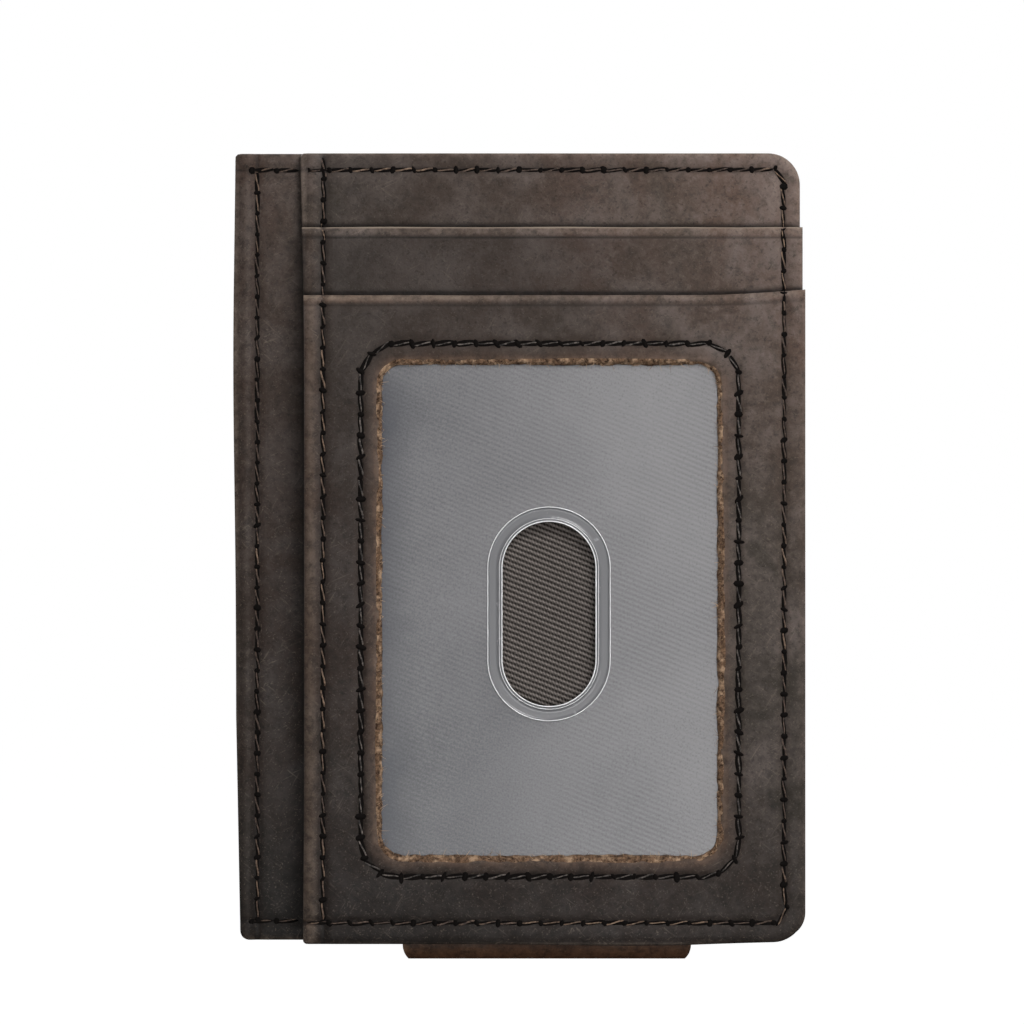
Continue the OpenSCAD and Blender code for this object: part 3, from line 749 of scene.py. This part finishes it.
def lay_ring(bm, lo, hi, r, around, profile, ragged=0.0, seed=0.0, index=0, beads=(), wider=0.0):
    """Lays a ring round an opening: profile lists (outward, y) across it, side to side.

    beads says which steps of the profile take the second finish, ragged how far it wanders, and
    wider how much more it spreads on the right and below.
    """
    steps = len(profile) - 1
    wear_and_shade_layer = vertex_layer(bm, "wear_and_shade")
    ring = bmesh.ops.create_grid(bm, x_segments=around, y_segments=steps, size=0.5)["verts"]
    faces = {f for v in ring for f in v.link_faces}
    for f in faces:
        step = math.floor((f.calc_center_median().y + 0.5) * steps)
        f.material_index = 1 if step in beads else index
    for v in ring:
        k, j = round((v.co.x + 0.5) * around), round((v.co.y + 0.5) * steps)
        px, pz, nx, nz = round_path(lo, hi, r, k / around)
        out, y = profile[j]
        out *= 1 + wider * (max(0, nx) + max(0, -nz)) * (out > 0)
        wander = ragged * (noise.noise(Vector((px * 900, pz * 900, seed + j * 0.35)))
                           + 0.8 * noise.noise(Vector((px * 260, pz * 260, seed))))
        v.co = (px + nx * (out + wander), y + wander * 0.45, pz + nz * (out + wander))
        v[wear_and_shade_layer] = 0.5 + wander / (ragged or 1) * 0.5
    bmesh.ops.remove_doubles(bm, verts=ring, dist=0.001 * MM)
    bmesh.ops.recalc_face_normals(bm, faces=[f for f in faces if f.is_valid])


raw_back = ply_front["frame"] + 0.3 * MM
raw_foot = -5.04 * MM
raw_profile = [(out * MM, raw_back + sunk * MM) for out, sunk in (
    (0.6, 0.05), (0.32, -0.06), (0.05, -0.06), (-0.12, 0.02), (-0.28, 0.18), (-0.4, 0.40), (-0.44, 0.66))]
raw_profile += [(-0.35 * MM, raw_foot), (0.6 * MM, raw_foot), raw_profile[0]]
lay_ring(bm, hole_lo, hole_hi, hole_r, 1000, raw_profile, 0.17 * MM, 4.0, 1, wider=0.9)

rng = random.Random(41)
for _ in range(900):
    px, pz, nx, nz = round_path(hole_lo, hole_hi, hole_r, rng.random())
    root = rng.uniform(-0.4, 0.3) * MM
    lean = rng.uniform(-1.4, 1.4)
    long = rng.choice((0.25, 0.35, 0.5, 0.9)) * rng.uniform(0.7, 1.2) * MM
    start = Vector((px + nx * root, raw_back + rng.uniform(0.0, 0.35) * MM, pz + nz * root))
    way = Vector((-nx * math.cos(lean) - nz * math.sin(lean), rng.uniform(-0.3, 0.35),
                  -nz * math.cos(lean) + nx * math.sin(lean)))
    side = Vector((-way.z, 0, way.x)).normalized() * rng.uniform(0.025, 0.05) * MM
    curl = Vector((rng.uniform(-1, 1), rng.uniform(-0.6, 0.3), rng.uniform(-1, 1))) * long * 0.35
    hair = bmesh.ops.create_grid(bm, x_segments=3, y_segments=1, size=0.5)["verts"]
    for v in hair:
        t, w = v.co.x + 0.5, v.co.y * 2
        v.co = start + way * long * t + curl * t * t + side * w * (1 - 0.7 * t)
    pale_hair = rng.random() < 0.45
    for f in {f for v in hair for f in v.link_faces}:
        f.material_index = 2 if pale_hair else 1

pale_fibre = new_finish("pale_leather_fibre", (0.40, 0.27, 0.17), 0.8, 0.2)
raw_flesh = new_finish("raw_cut_leather", (0.16, 0.09, 0.05), 0.85, 0.2)
tufts = cloud(raw_flesh, place(raw_flesh), 2300, 5, 0.75)
specks = cloud(raw_flesh, place(raw_flesh), 700, 4, 0.7)
tufted = levels(raw_flesh, tufts, 0.38, 0.62)
raw_colour = stain(raw_flesh, tufted, (0.022, 0.011, 0.006), (0.20, 0.118, 0.070))
specked = levels(raw_flesh, specks, 0.5, 0.64, 0, 0.85)
coat(raw_flesh, "Base Color", stain(raw_flesh, specked, raw_colour, (0.43, 0.29, 0.185)))
coat(raw_flesh, "Normal", relief(raw_flesh, tufts, 0.25 * MM, 0.9))
window_frame = made("window_leather", bm, outer_leather, raw_flesh, pale_fibre)
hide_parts("window_frame")
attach(window_frame, "wallet")

# ---- Window film ------------------------------------------------------------------------
# Soft frosted film welded and sewn in behind the frame, with the thumb slot punched in it.
# It is milky, a little see-through, and not quite flat.
weld_wide = 2.05 * MM
thumb_lo = (rim_lo.x + weld_wide, rim_lo.z + weld_wide)
thumb_hi = (rim_hi.x - weld_wide, rim_hi.z - weld_wide)
thumb_r = (thumb_hi[0] - thumb_lo[0]) / 2


def film_face(x, z):
    wave = 0.10 * noise.noise(Vector((x * 34, z * 26, 31)))
    wave += 0.03 * noise.noise(Vector((x * 120, z * 90, 5)))
    slack = share(-ring_gap(x, z, hole_lo, hole_hi, hole_r) / (8 * MM))
    rim_gap = ring_gap(x, z, (rim_lo.x, rim_lo.z), (rim_hi.x, rim_hi.z), thumb_r + 2 * MM)
    return film_lo.y + (wave * slack * share(rim_gap / (6 * MM)) + 0.02) * MM


def film_shape(x, z):
    x, z = cut_window(x, z, thumb_lo, thumb_hi, thumb_r * 0.999, 3 * MM)
    return cut_round(x, z, (film_lo.x, film_lo.z), (film_hi.x, film_hi.z), (5.4 * MM,) * 4)


across = marks(film_lo.x, (thumb_lo[0], 0.9 * MM), (thumb_hi[0], 0.4 * MM), (film_hi.x, 0.9 * MM))
up = marks(film_lo.z, (thumb_lo[1] - 4 * MM, 0.9 * MM), (thumb_lo[1], 0.5 * MM), (thumb_hi[1], 0.4 * MM),
           (thumb_hi[1] + 4 * MM, 0.5 * MM), (film_hi.z, 0.9 * MM))
bm = bmesh.new()
film_thick = 0.33 * MM
lay_ply(bm, across, up, film_face, lambda x, z: film_face(x, z) + film_thick, film_shape,
        lambda x, z: not (thumb_lo[0] < x < thumb_hi[0] and thumb_lo[1] < z < thumb_hi[1]), rub=0)
frosted = new_finish("frosted_film", (0.19, 0.19, 0.2), 0.4, 0.5)
coat(frosted, "Alpha", 0.86)
dust = cloud(frosted, place(frosted), 4200, 2, 0.6)
haze = cloud(frosted, place(frosted), 40, 4, 0.6, 0.5)
spot = node(frosted, "SeparateXYZ", [(0, place(frosted))])
# Painted reflection: the film's colour runs from dark at the left and lower left to light at the upper right,
# as the lamps' reflection would; the haze varies it.
painted_sheen_slope = plus(frosted, spot.outputs["X"], times(frosted, spot.outputs["Z"], 0.22))
painted_sheen_and_haze = plus(frosted, levels(frosted, painted_sheen_slope, -0.016, 0.038), levels(frosted, haze, 0.3, 0.7, -0.25, 0.25))
milky = stain(frosted, levels(frosted, painted_sheen_and_haze, 0, 1), (0.112, 0.112, 0.122), (0.272, 0.265, 0.272))
milky = stain(frosted, levels(frosted, dust, 0.42, 0.72, 0, 0.36), milky, (0.30, 0.30, 0.305))
milky = stain(frosted, levels(frosted, dust, 0.3, 0.45, 0.4, 0), milky, (0.08, 0.08, 0.09))
print_through = node(frosted, "SeparateXYZ", [(0, place(frosted, (1, 1, 1), (0, -rib_slope, 0)))])
threads = times(frosted, print_through.outputs["Z"], 2 * math.pi / (0.64 * MM))
threads = levels(frosted, maths(frosted, "SINE", threads), -1, 1)
clear = levels(frosted, cloud(frosted, place(frosted), 55, 2), 0.35, 0.6, 0.08, 0.27)
milky = stain(frosted, times(frosted, threads, clear), milky, (0.05, 0.05, 0.055))
# Painted shadow of the frame's left edge darkens the film along its left side.
painted_frame_shadow = plus(frosted, spot.outputs["X"], levels(frosted, haze, 0.3, 0.7, -0.0012, 0.0012))
painted_frame_shadow = levels(frosted, painted_frame_shadow, hole_lo[0] + 6 * MM, hole_lo[0] - 0.5 * MM)
milky = stain(frosted, maths(frosted, "POWER", painted_frame_shadow, 1.5), milky, (0.045, 0.048, 0.062))
coat(frosted, "Base Color", milky)
coat(frosted, "Normal", relief(frosted, dust, 0.02 * MM, 0.35))
window_film = made("window_sheet", bm, frosted)
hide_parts("window_film")
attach(window_film, "wallet")

# ---- Thumb slot rim ---------------------------------------------------------------------
# The film's edge round the thumb slot, welded with a heated die: a flat clear band with a
# raised bead along each side and a fine second line by the hole.
weld_face = film_lo.y
weld_profile = [(out * MM, weld_face + sunk * MM) for out, sunk in (
    (0, 0.36), (-0.01, -0.12), (0.02, -0.26), (0.10, -0.31), (0.17, -0.22), (0.20, -0.10),
    (0.36, -0.09), (0.40, -0.16), (0.46, -0.16), (0.50, -0.09), (1.0, -0.11), (1.5, -0.11),
    (1.86, -0.09), (1.89, -0.20), (1.95, -0.25), (2.01, -0.20), (2.04, -0.04), (2.04, 0.05),
    (2.0, 0.36), (0, 0.36))]
bead_steps = (2, 3, 7, 13, 14)
bm = bmesh.new()
lay_ring(bm, thumb_lo, thumb_hi, thumb_r * 0.9995, 300, weld_profile, 0.012 * MM, 2.0, 0, bead_steps)
clear_weld = new_finish("clear_welded_film", (0.19, 0.19, 0.197), 0.25, 0.5)
coat(clear_weld, "Alpha", 0.92)
streaks = levels(clear_weld, cloud(clear_weld, place(clear_weld), 900, 3, 0.6), 0.66, 0.8)
coat(clear_weld, "Base Color", stain(clear_weld, streaks, (0.17, 0.17, 0.178), (0.42, 0.42, 0.43)))
# The beads' near-white finish paints the glint of light along the clear weld.
painted_bead_glint = new_finish("painted_weld_glint", (0.86, 0.86, 0.87), 0.15, 0.8)
thumb_rim = made("thumb_slot_weld", bm, clear_weld, painted_bead_glint)
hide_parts("thumb_slot_rim")
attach(thumb_rim, "wallet")

# ---- Money clip -------------------------------------------------------------------------
# One long strap of softer leather and one of lining, glued face to face, folded under the
# bottom edge and closed by magnets between the plies. In use the rear leg swings open on the
# fold; here the strap is laid closed, in one piece.
strap_leather = waxed_leather("waxed_strap_leather", (0.056, 0.029, 0.018), (0.028, 0.017, 0.011),
                              (0.080, 0.050, 0.034), (0.27, 0.165, 0.10), 0.45)
strap_lo, strap_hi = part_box("clip_strap_base")
flap_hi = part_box("clip_strap_flap")[1]
jaw_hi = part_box("clip_lining_base")[1]
swing_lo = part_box("clip_lining_flap")[0]
disc_lo, disc_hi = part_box("clip_flap_magnets")
fold_y, fold_z, fold_r = (strap_lo.y + flap_hi.y) / 2, frame_lo.z, (flap_hi.y - strap_lo.y) / 2
base_long, flap_long = strap_hi.z - fold_z, flap_hi.z - fold_z
turn_long = math.pi * fold_r
strap_long, strap_end_r = base_long + turn_long + flap_long, 8 * MM
strap_row_in, strap_row_r = 2.2 * MM, 5.8 * MM


def on_strap(x, s, depth):
    """A point on the strap: s along it from the fixed end, depth in from its outer face."""
    if s < base_long:
        return Vector((x, strap_lo.y + depth, fold_z + base_long - s))
    if s < base_long + turn_long:
        a = (s - base_long) / fold_r
        return Vector((x, fold_y - (fold_r - depth) * math.cos(a), fold_z - (fold_r - depth) * math.sin(a)))
    return Vector((x, flap_hi.y - depth, fold_z + s - base_long - turn_long))


def strap_row_gap(x, s):
    return abs(ring_gap(x, s, (strap_lo.x + strap_row_in, strap_row_in),
                        (strap_hi.x - strap_row_in, strap_long - strap_row_in), strap_row_r))


def over_magnets(x, s):
    """How much the strap swells over the two magnets of the swinging leg."""
    z = s - base_long - turn_long + fold_z
    reach = (disc_hi.z - disc_lo.z) / 2
    middle = (disc_lo.z + disc_hi.z) / 2
    swell = 0
    for cx in (disc_lo.x + reach, disc_hi.x - reach):
        d = math.hypot(x - cx, z - middle) / reach
        swell += 1 / (1 + math.exp((d - 1.05) * 9))
    return swell


def lay_strap(bm, outer, inner, seed):
    """Lays one of the strap's two plies between two depths, each given as a function of (x, s)."""
    across = marks(strap_lo.x, (strap_lo.x + strap_end_r, 0.8 * MM),
                   (strap_hi.x - strap_end_r, 0.8 * MM), (strap_hi.x, 0.8 * MM))
    along = marks(0, (strap_end_r, 0.8 * MM), (base_long - 2 * MM, 1.2 * MM),
                  (base_long + turn_long + 2 * MM, 0.3 * MM), (strap_long - strap_end_r, 0.7 * MM),
                  (strap_long, 0.8 * MM))
    across, along = rimmed(across), rimmed(along)
    nx, ns = len(across) - 1, len(along) - 1
    wear_and_shade_layer, bared_at, dropped = (vertex_layer(bm, name) for name in ("wear_and_shade", "bared", "dropped"))
    ply = bmesh.ops.create_grid(bm, x_segments=nx, y_segments=ns, size=0.5)["verts"]
    flat, centre, half = {}, (strap_lo.x + strap_hi.x) / 2, (strap_hi.x - strap_lo.x) / 2
    for v in ply:
        x, s = across[round((v.co.x + 0.5) * nx)], along[round((v.co.y + 0.5) * ns)]
        v[dropped] = turned_over(min(x - across[0], across[-1] - x, s, strap_long - s), 0.22 * MM)
        x, s = cut_round(x, s, (strap_lo.x, 0), (strap_hi.x, strap_long), (strap_end_r,) * 4)
        drawn_in = 0.75 * MM * near(s - base_long - turn_long / 2, 1.5 * MM)
        drawn_in *= (abs(x - centre) / half) ** 16
        x += 0.12 * MM * noise.noise(Vector((x * 2, s * 60, seed))) - math.copysign(drawn_in, x - centre)
        flat[v] = (x, s)
        v.co = on_strap(x, s, outer(x, s) + v[dropped])
        edge = min(x - strap_lo.x, strap_hi.x - x, s, strap_long - s)
        bend = near(s - base_long - turn_long / 2, 3 * MM)
        v[wear_and_shade_layer] = 0.55 * near(edge, 0.45 * MM) + 0.1 * bend
        v[bared_at] = 0.7 * bend
    faces = list({f for v in ply for f in v.link_faces})
    where = {tuple(round(c, 7) for c in v.co): flat[v] for v in ply}
    grown = bmesh.ops.extrude_face_region(bm, geom=faces, use_keep_orig=True)["geom"]
    for v in grown:
        if isinstance(v, bmesh.types.BMVert):
            x, s = where[tuple(round(c, 7) for c in v.co)]
            v.co = on_strap(x, s, inner(x, s) - v[dropped])
    bmesh.ops.recalc_face_normals(bm, faces=bm.faces[:])


def strap_outside(x, s):
    edge = min(x - strap_lo.x, strap_hi.x - x, s, strap_long - s)
    pinch = 0.22 * near(strap_row_gap(x, s), 0.7 * MM) + 0.25 * near(edge, 0.8 * MM)
    bulge = 0.28 * MM * near(s - base_long - turn_long / 2, 2.2 * MM)
    swollen = (pinch - 0.3 * over_magnets(x, s)) * MM - hide_waves(x, s, 37)
    return swollen * (s > base_long + turn_long) + 0.02 * MM - bulge


strap_thick, lining_from, lining_to = 0.9 * MM, 0.92 * MM, 1.6 * MM
bm = bmesh.new()
lay_strap(bm, strap_outside, at_depth(strap_thick), 3)
strap = made("clip_strap", bm, strap_leather)
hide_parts("clip_strap_base", "clip_strap_flap")
bm = bmesh.new()
lay_strap(bm, at_depth(lining_from),
          lambda x, s: lining_to - 0.18 * MM * near(strap_row_gap(x, s), 0.6 * MM), 6)
jaw = made("clip_lining", bm, strap_leather)
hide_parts("clip_lining_base", "clip_lining_flap")
for part in (strap, jaw):
    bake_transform(part)

# Four flat nickel-plated magnets, two in each leg, glued in between the plies, out of sight.
nickel = new_finish("nickel_plate", (0.6, 0.59, 0.57), 0.3)
coat(nickel, "Metallic", 1.0)
for name in ("clip_base_magnets", "clip_flap_magnets"):
    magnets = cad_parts[name]
    magnets.data.materials.clear()
    magnets.data.materials.append(nickel)

# ---- Stitching --------------------------------------------------------------------------
# Waxed brown polyester thread, a lockstitch about nine to the inch. Each stitch is pulled
# down into the leather at a knife-shaped needle hole, and leans a little.
pitch, thread_thick = 2.78 * MM, 0.24 * MM


def seam_walk(corners, r, apart=pitch):
    """Stitch centres along a line with round corners: (x, z, direction)."""
    line = []
    for k, c in enumerate(corners):
        if k in (0, len(corners) - 1):
            line.append(Vector(c))
            continue
        c, before, after = Vector(c), Vector(corners[k - 1]), Vector(corners[k + 1])
        enter, leave = c + (before - c).normalized() * r, c + (after - c).normalized() * r
        centre = enter + leave - c
        for step in range(11):
            a = step * math.pi / 20
            line.append(centre + (enter - centre) * math.cos(a) + (leave - centre) * math.sin(a))
    runs = [(b - a).length for a, b in zip(line, line[1:])]
    count = max(1, round(sum(runs) / apart))
    found = []
    for k in range(count):
        want, passed = (k + 0.5) * sum(runs) / count, 0
        for a, b, run in zip(line, line[1:], runs):
            if run > 0 and passed + run >= want:
                p = a.lerp(b, (want - passed) / run)
                found.append((p.x, p.y, math.atan2(b.y - a.y, b.x - a.x)))
                break
            passed += run
    return found


stitch = bmesh.new()
bmesh.ops.create_uvsphere(stitch, u_segments=8, v_segments=9, radius=1,
                          matrix=Matrix.Rotation(math.pi / 2, 4, "Y"))
for v in stitch.verts:
    t = v.co.x
    body = (1 - abs(t) ** 6) ** 0.5 / max(0.05, (1 - t * t) ** 0.5) if abs(t) < 0.999 else 1
    sag = 0.75 * thread_thick * max(0, (abs(t) - 0.55) / 0.45) ** 1.5
    wave = 0.07 * MM * math.sin(math.pi * t)
    v.co = (t * pitch * 0.5, v.co.y * body * thread_thick / 2 + sag,
            v.co.z * body * thread_thick / 2 + wave)
stitch_mesh = bpy.data.meshes.new("one_stitch")
stitch.to_mesh(stitch_mesh)
stitch.free()


def painted_shade_lens(name, long, wide, u_segments, v_segments):
    """Painted shade under a stitch or in a needle hole: a thin near-black lens laid on the leather."""
    lens_bm = bmesh.new()
    bmesh.ops.create_uvsphere(lens_bm, u_segments=u_segments, v_segments=v_segments, radius=1)
    for v in lens_bm.verts:
        v.co = (v.co.x * long / 2, v.co.y * 0.12 * MM, v.co.z * wide / 2)
    for f in lens_bm.faces:
        f.material_index = 1
    lens_mesh = bpy.data.meshes.new(name)
    lens_bm.to_mesh(lens_mesh)
    lens_bm.free()
    return lens_mesh


# The furrow under each stitch and each needle hole are painted shade, thin near-black lenses laid on the
# leather.
needle_mesh = painted_shade_lens("one_needle_hole", 0.74 * MM, 0.98 * MM, 6, 4)
furrow_mesh = painted_shade_lens("one_furrow", pitch * 1.12, 0.58 * MM, 8, 5)
rng = random.Random(7)


def sew(bm, stitches, surface, out=-1, tight=1.0):
    """Sews stitches on a surface: surface gives y at (x, z), out is the side it faces.

    tight is how hard the thread is pulled in, which widens the painted shade of its furrow and of the needle
    holes.
    """
    for x, z, way in stitches:
        parts = ((stitch_mesh, 0, -0.05, rng.uniform(0, 12), 1, rng.uniform(0.7, 1.1)),
                 (furrow_mesh, 0, 0.0, rng.uniform(-4, 9), 1, tight * rng.uniform(0.75, 1.2)),
                 (needle_mesh, -pitch / 2, -0.01, rng.uniform(-25, 50), rng.uniform(0.75, 1.5),
                  tight * rng.uniform(0.65, 1.2)))
        for mesh, at, sunk, lean, long, wide in parts:
            before = len(bm.verts)
            bm.from_mesh(mesh)
            bm.verts.ensure_lookup_table()
            cx = x + at * math.cos(way) + rng.uniform(-0.05, 0.05) * MM
            cz = z + at * math.sin(way) + rng.uniform(-0.05, 0.05) * MM
            turned = Matrix.Rotation(-(way + math.radians(lean)), 4, "Y")
            turned = turned @ Matrix.Diagonal((long, -out, wide, 1))
            laid = Matrix.Translation((cx, -out * sunk * MM, cz)) @ turned
            bmesh.ops.transform(bm, matrix=laid, verts=bm.verts[before:])
            for v in bm.verts[before:]:
                v.co.y += surface(v.co.x, v.co.z)


thread = new_finish("waxed_thread", (0.075, 0.043, 0.027), 0.6, 0.35)
strands = cloud(thread, place(thread), 2400, 3, 0.6)
dyed = stain(thread, levels(thread, strands, 0.38, 0.64), (0.022, 0.013, 0.010), (0.115, 0.076, 0.056))
tan = stain(thread, levels(thread, strands, 0.35, 0.6), (0.060, 0.034, 0.022), (0.24, 0.16, 0.108))
faded_runs = levels(thread, cloud(thread, place(thread), 70, 3, 0.6), 0.5, 0.62)
coat(thread, "Base Color", stain(thread, faded_runs, dyed, tan))
painted_stitch_shade = new_finish("painted_stitch_shade_finish", (0.004, 0.003, 0.0025), 0.9, 0.1)
sunk_thread = new_finish("sunk_dark_thread", (0.04, 0.03, 0.025), 0.5, 0.35)
# The grey flecks on the dark window thread are painted glints of light on its strands.
painted_glints = levels(sunk_thread, cloud(sunk_thread, place(sunk_thread), 2600, 3, 0.6), 0.42, 0.66)
coat(sunk_thread, "Base Color", stain(sunk_thread, painted_glints, (0.008, 0.006, 0.005), (0.15, 0.125, 0.11)))


def seam(name, rows, *nodes, body="wallet", yarn=thread, tight=1.0):
    """The finished stitching, standing in for its CAD nodes.

    Each row is its corners, how round they are, the surface it lies on and the side that faces.
    """
    bm = bmesh.new()
    for corners, r, surface, out in rows:
        sew(bm, seam_walk(corners, r), surface, out, tight)
    bmesh.ops.recalc_face_normals(bm, faces=bm.faces[:])
    piece = made(name, bm, yarn, painted_stitch_shade)
    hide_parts(*nodes)
    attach(piece, body)


def front_face(x, z):
    """The front surface, whichever ply shows there."""
    if x < stack_left + 0.2 * MM:
        return strip_face(x, z)
    if z > slot_mouth:
        return base_face(x, z)
    return slot_face(x, z) if z > id_mouth + id_lip(x) else frame_face(x, z)


def flap_outside(x, z):
    return flap_hi.y - strap_outside(x, z - fold_z + base_long + turn_long)


front, rear, outer_turn = -1, 1, 2 * MM
round_right = [(stack_left + 0.5 * MM, row_top), (row_right, row_top), (row_right, row_bottom),
               (stack_left + 0.5 * MM, row_bottom)]
beside_stack = [[(pocket_lo.x + 1.9 * MM, z), (stack_left - 0.7 * MM, z)] for z in (row_top, row_bottom)]
rear_round = [(back_lo.x + 1.5 * MM, row_top), (row_right, row_top), (row_right, row_bottom),
              (strap_hi.x + 0.5 * MM, row_bottom)]
rear_left = [(strap_lo.x - 0.5 * MM, row_bottom), (back_lo.x + 2.2 * MM, row_bottom)]
seam("outer_stitching", [(round_right, outer_turn, front_face, front),
                         *((line, 0, front_face, front) for line in beside_stack),
                         (rear_round, outer_turn, back_face, rear), (rear_left, 0, back_face, rear)],
     "perimeter_seam")

strip_line = [(row_left, row_bottom + 0.2 * MM), (row_left, row_top - 0.2 * MM)]
seam("strip_stitching", [(strip_line, 0, strip_face, front), (strip_line, 0, back_face, rear)], "strip_seam")

stack_line = [(stack_row, row_bottom + 0.2 * MM), (stack_row, row_top + 1.6 * MM)]
seam("stack_stitching", [(stack_line, 0, front_face, front)], "stack_seam")

w_lo = (hole_lo[0] - window_row, hole_lo[1] - window_row)
w_hi = (hole_hi[0] + window_row, hole_hi[1] + window_row)
foot = ((w_lo[0] + w_hi[0]) / 2, w_lo[1])
window_round = [foot, w_lo, (w_lo[0], w_hi[1]), w_hi, (w_hi[0], w_lo[1]), foot]
seam("window_stitching", [(window_round, window_row_r, frame_face, front)], "window_seam",
     yarn=sunk_thread, tight=1.35)

slot_foot = strip_end + 1.5 * MM
slot_line = [(slot_lo.x + margin_wide + 1 * MM, slot_foot), (base_hi.x - margin_wide - 1 * MM, slot_foot)]
seam("slot_stitching", [(slot_line, 0, slot_face, front)], "slot_strip_seam")


def leg_row(foot, head):
    """The row round one leg of the clip, from its foot up to its free end and back down."""
    left, right = strap_lo.x + strap_row_in, strap_hi.x - strap_row_in
    return [(left, foot), (left, head - strap_row_in), (right, head - strap_row_in), (right, foot)]


flap_row, base_row = leg_row(fold_z + 1 * MM, flap_hi.z), leg_row(row_bottom, strap_hi.z)
lining_dip = 0.16 * MM
seam("flap_stitching", [(flap_row, strap_row_r, flap_outside, rear),
                        (flap_row, strap_row_r, at_depth(swing_lo.y + lining_dip), front)],
     "clip_flap_seam", body="clip_flap")
seam("jaw_stitching", [(base_row, strap_row_r, at_depth(jaw_hi.y - lining_dip), rear)], "clip_base_seam")

# ---- Stage ------------------------------------------------------------------------------
# A plain pale floor that runs out to a white surround, low enough for the open clip to hang
# clear of it, with broad soft lamps in front, above and behind, and a long lens level with
# the middle of the wallet.
bm = bmesh.new()
bmesh.ops.create_grid(bm, x_segments=1, y_segments=1, size=30, matrix=Matrix.Translation((0, 0, -80 * MM)))
pale_floor = new_finish("pale_floor", (0.9, 0.9, 0.9), 0.9, 0.1)
coat(pale_floor, "Emission Color", (1, 1, 1, 1))
coat(pale_floor, "Emission Strength", 1.0)
floor = made("floor", bm, pale_floor)
floor.visible_diffuse = floor.visible_glossy = floor.visible_shadow = False

surround = bpy.data.worlds.new("white_surround")
bpy.context.scene.world = surround
surround.use_nodes = True
white = surround.node_tree.nodes["Background"].inputs
white["Color"].default_value, white["Strength"].default_value = (1, 1, 1, 1), 1.0
surround.cycles_visibility.diffuse = surround.cycles_visibility.glossy = False


def soft_lamp(name, where, aim, wide, high, watts):
    lamp = bpy.data.lights.new(name, "AREA")
    lamp.shape, lamp.size, lamp.size_y, lamp.energy = "RECTANGLE", wide, high, watts
    holder = bpy.data.objects.new(name, lamp)
    holder.location = where
    holder.rotation_euler = (Vector(aim) - Vector(where)).to_track_quat("-Z", "Y").to_euler()
    holder.visible_camera = False
    bpy.context.scene.collection.objects.link(holder)


heart = (0, 0, 0.055)
soft_lamp("upper_front_lamp", (0.14, -0.34, 0.30), (0.01, 0, 0.08), 0.20, 0.16, 1.22)
soft_lamp("broad_front_lamp", (0.15, -0.9, 0.16), (0, 0, 0.05), 0.6, 0.5, 0.88)
soft_lamp("low_front_lamp", (0.0, -0.35, -0.05), (0, 0, 0), 0.3, 0.08, 0.6)
soft_lamp("right_lamp", (0.7, -0.10, 0.25), heart, 0.4, 0.4, 1.9)
soft_lamp("left_lamp", (-0.7, 0.05, 0.25), heart, 0.4, 0.4, 1.4)
soft_lamp("rear_lamp", (-0.3, 0.6, 0.4), heart, 0.5, 0.4, 6.0)
soft_lamp("top_lamp", (0, 0.05, 0.8), heart, 0.4, 0.4, 2.0)

lens = bpy.data.cameras.new("long_lens")
lens.sensor_width, lens.lens = 36, 319.5
lens.clip_start, lens.clip_end = 0.05, 100
camera = bpy.data.objects.new("long_lens", lens)
camera.location = (-0.00106, -1.2, 0.0589)
camera.rotation_euler = (math.pi / 2, 0, 0)
bpy.context.scene.collection.objects.link(camera)
bpy.context.scene.camera = camera
bpy.context.scene.view_settings.view_transform = "Standard"
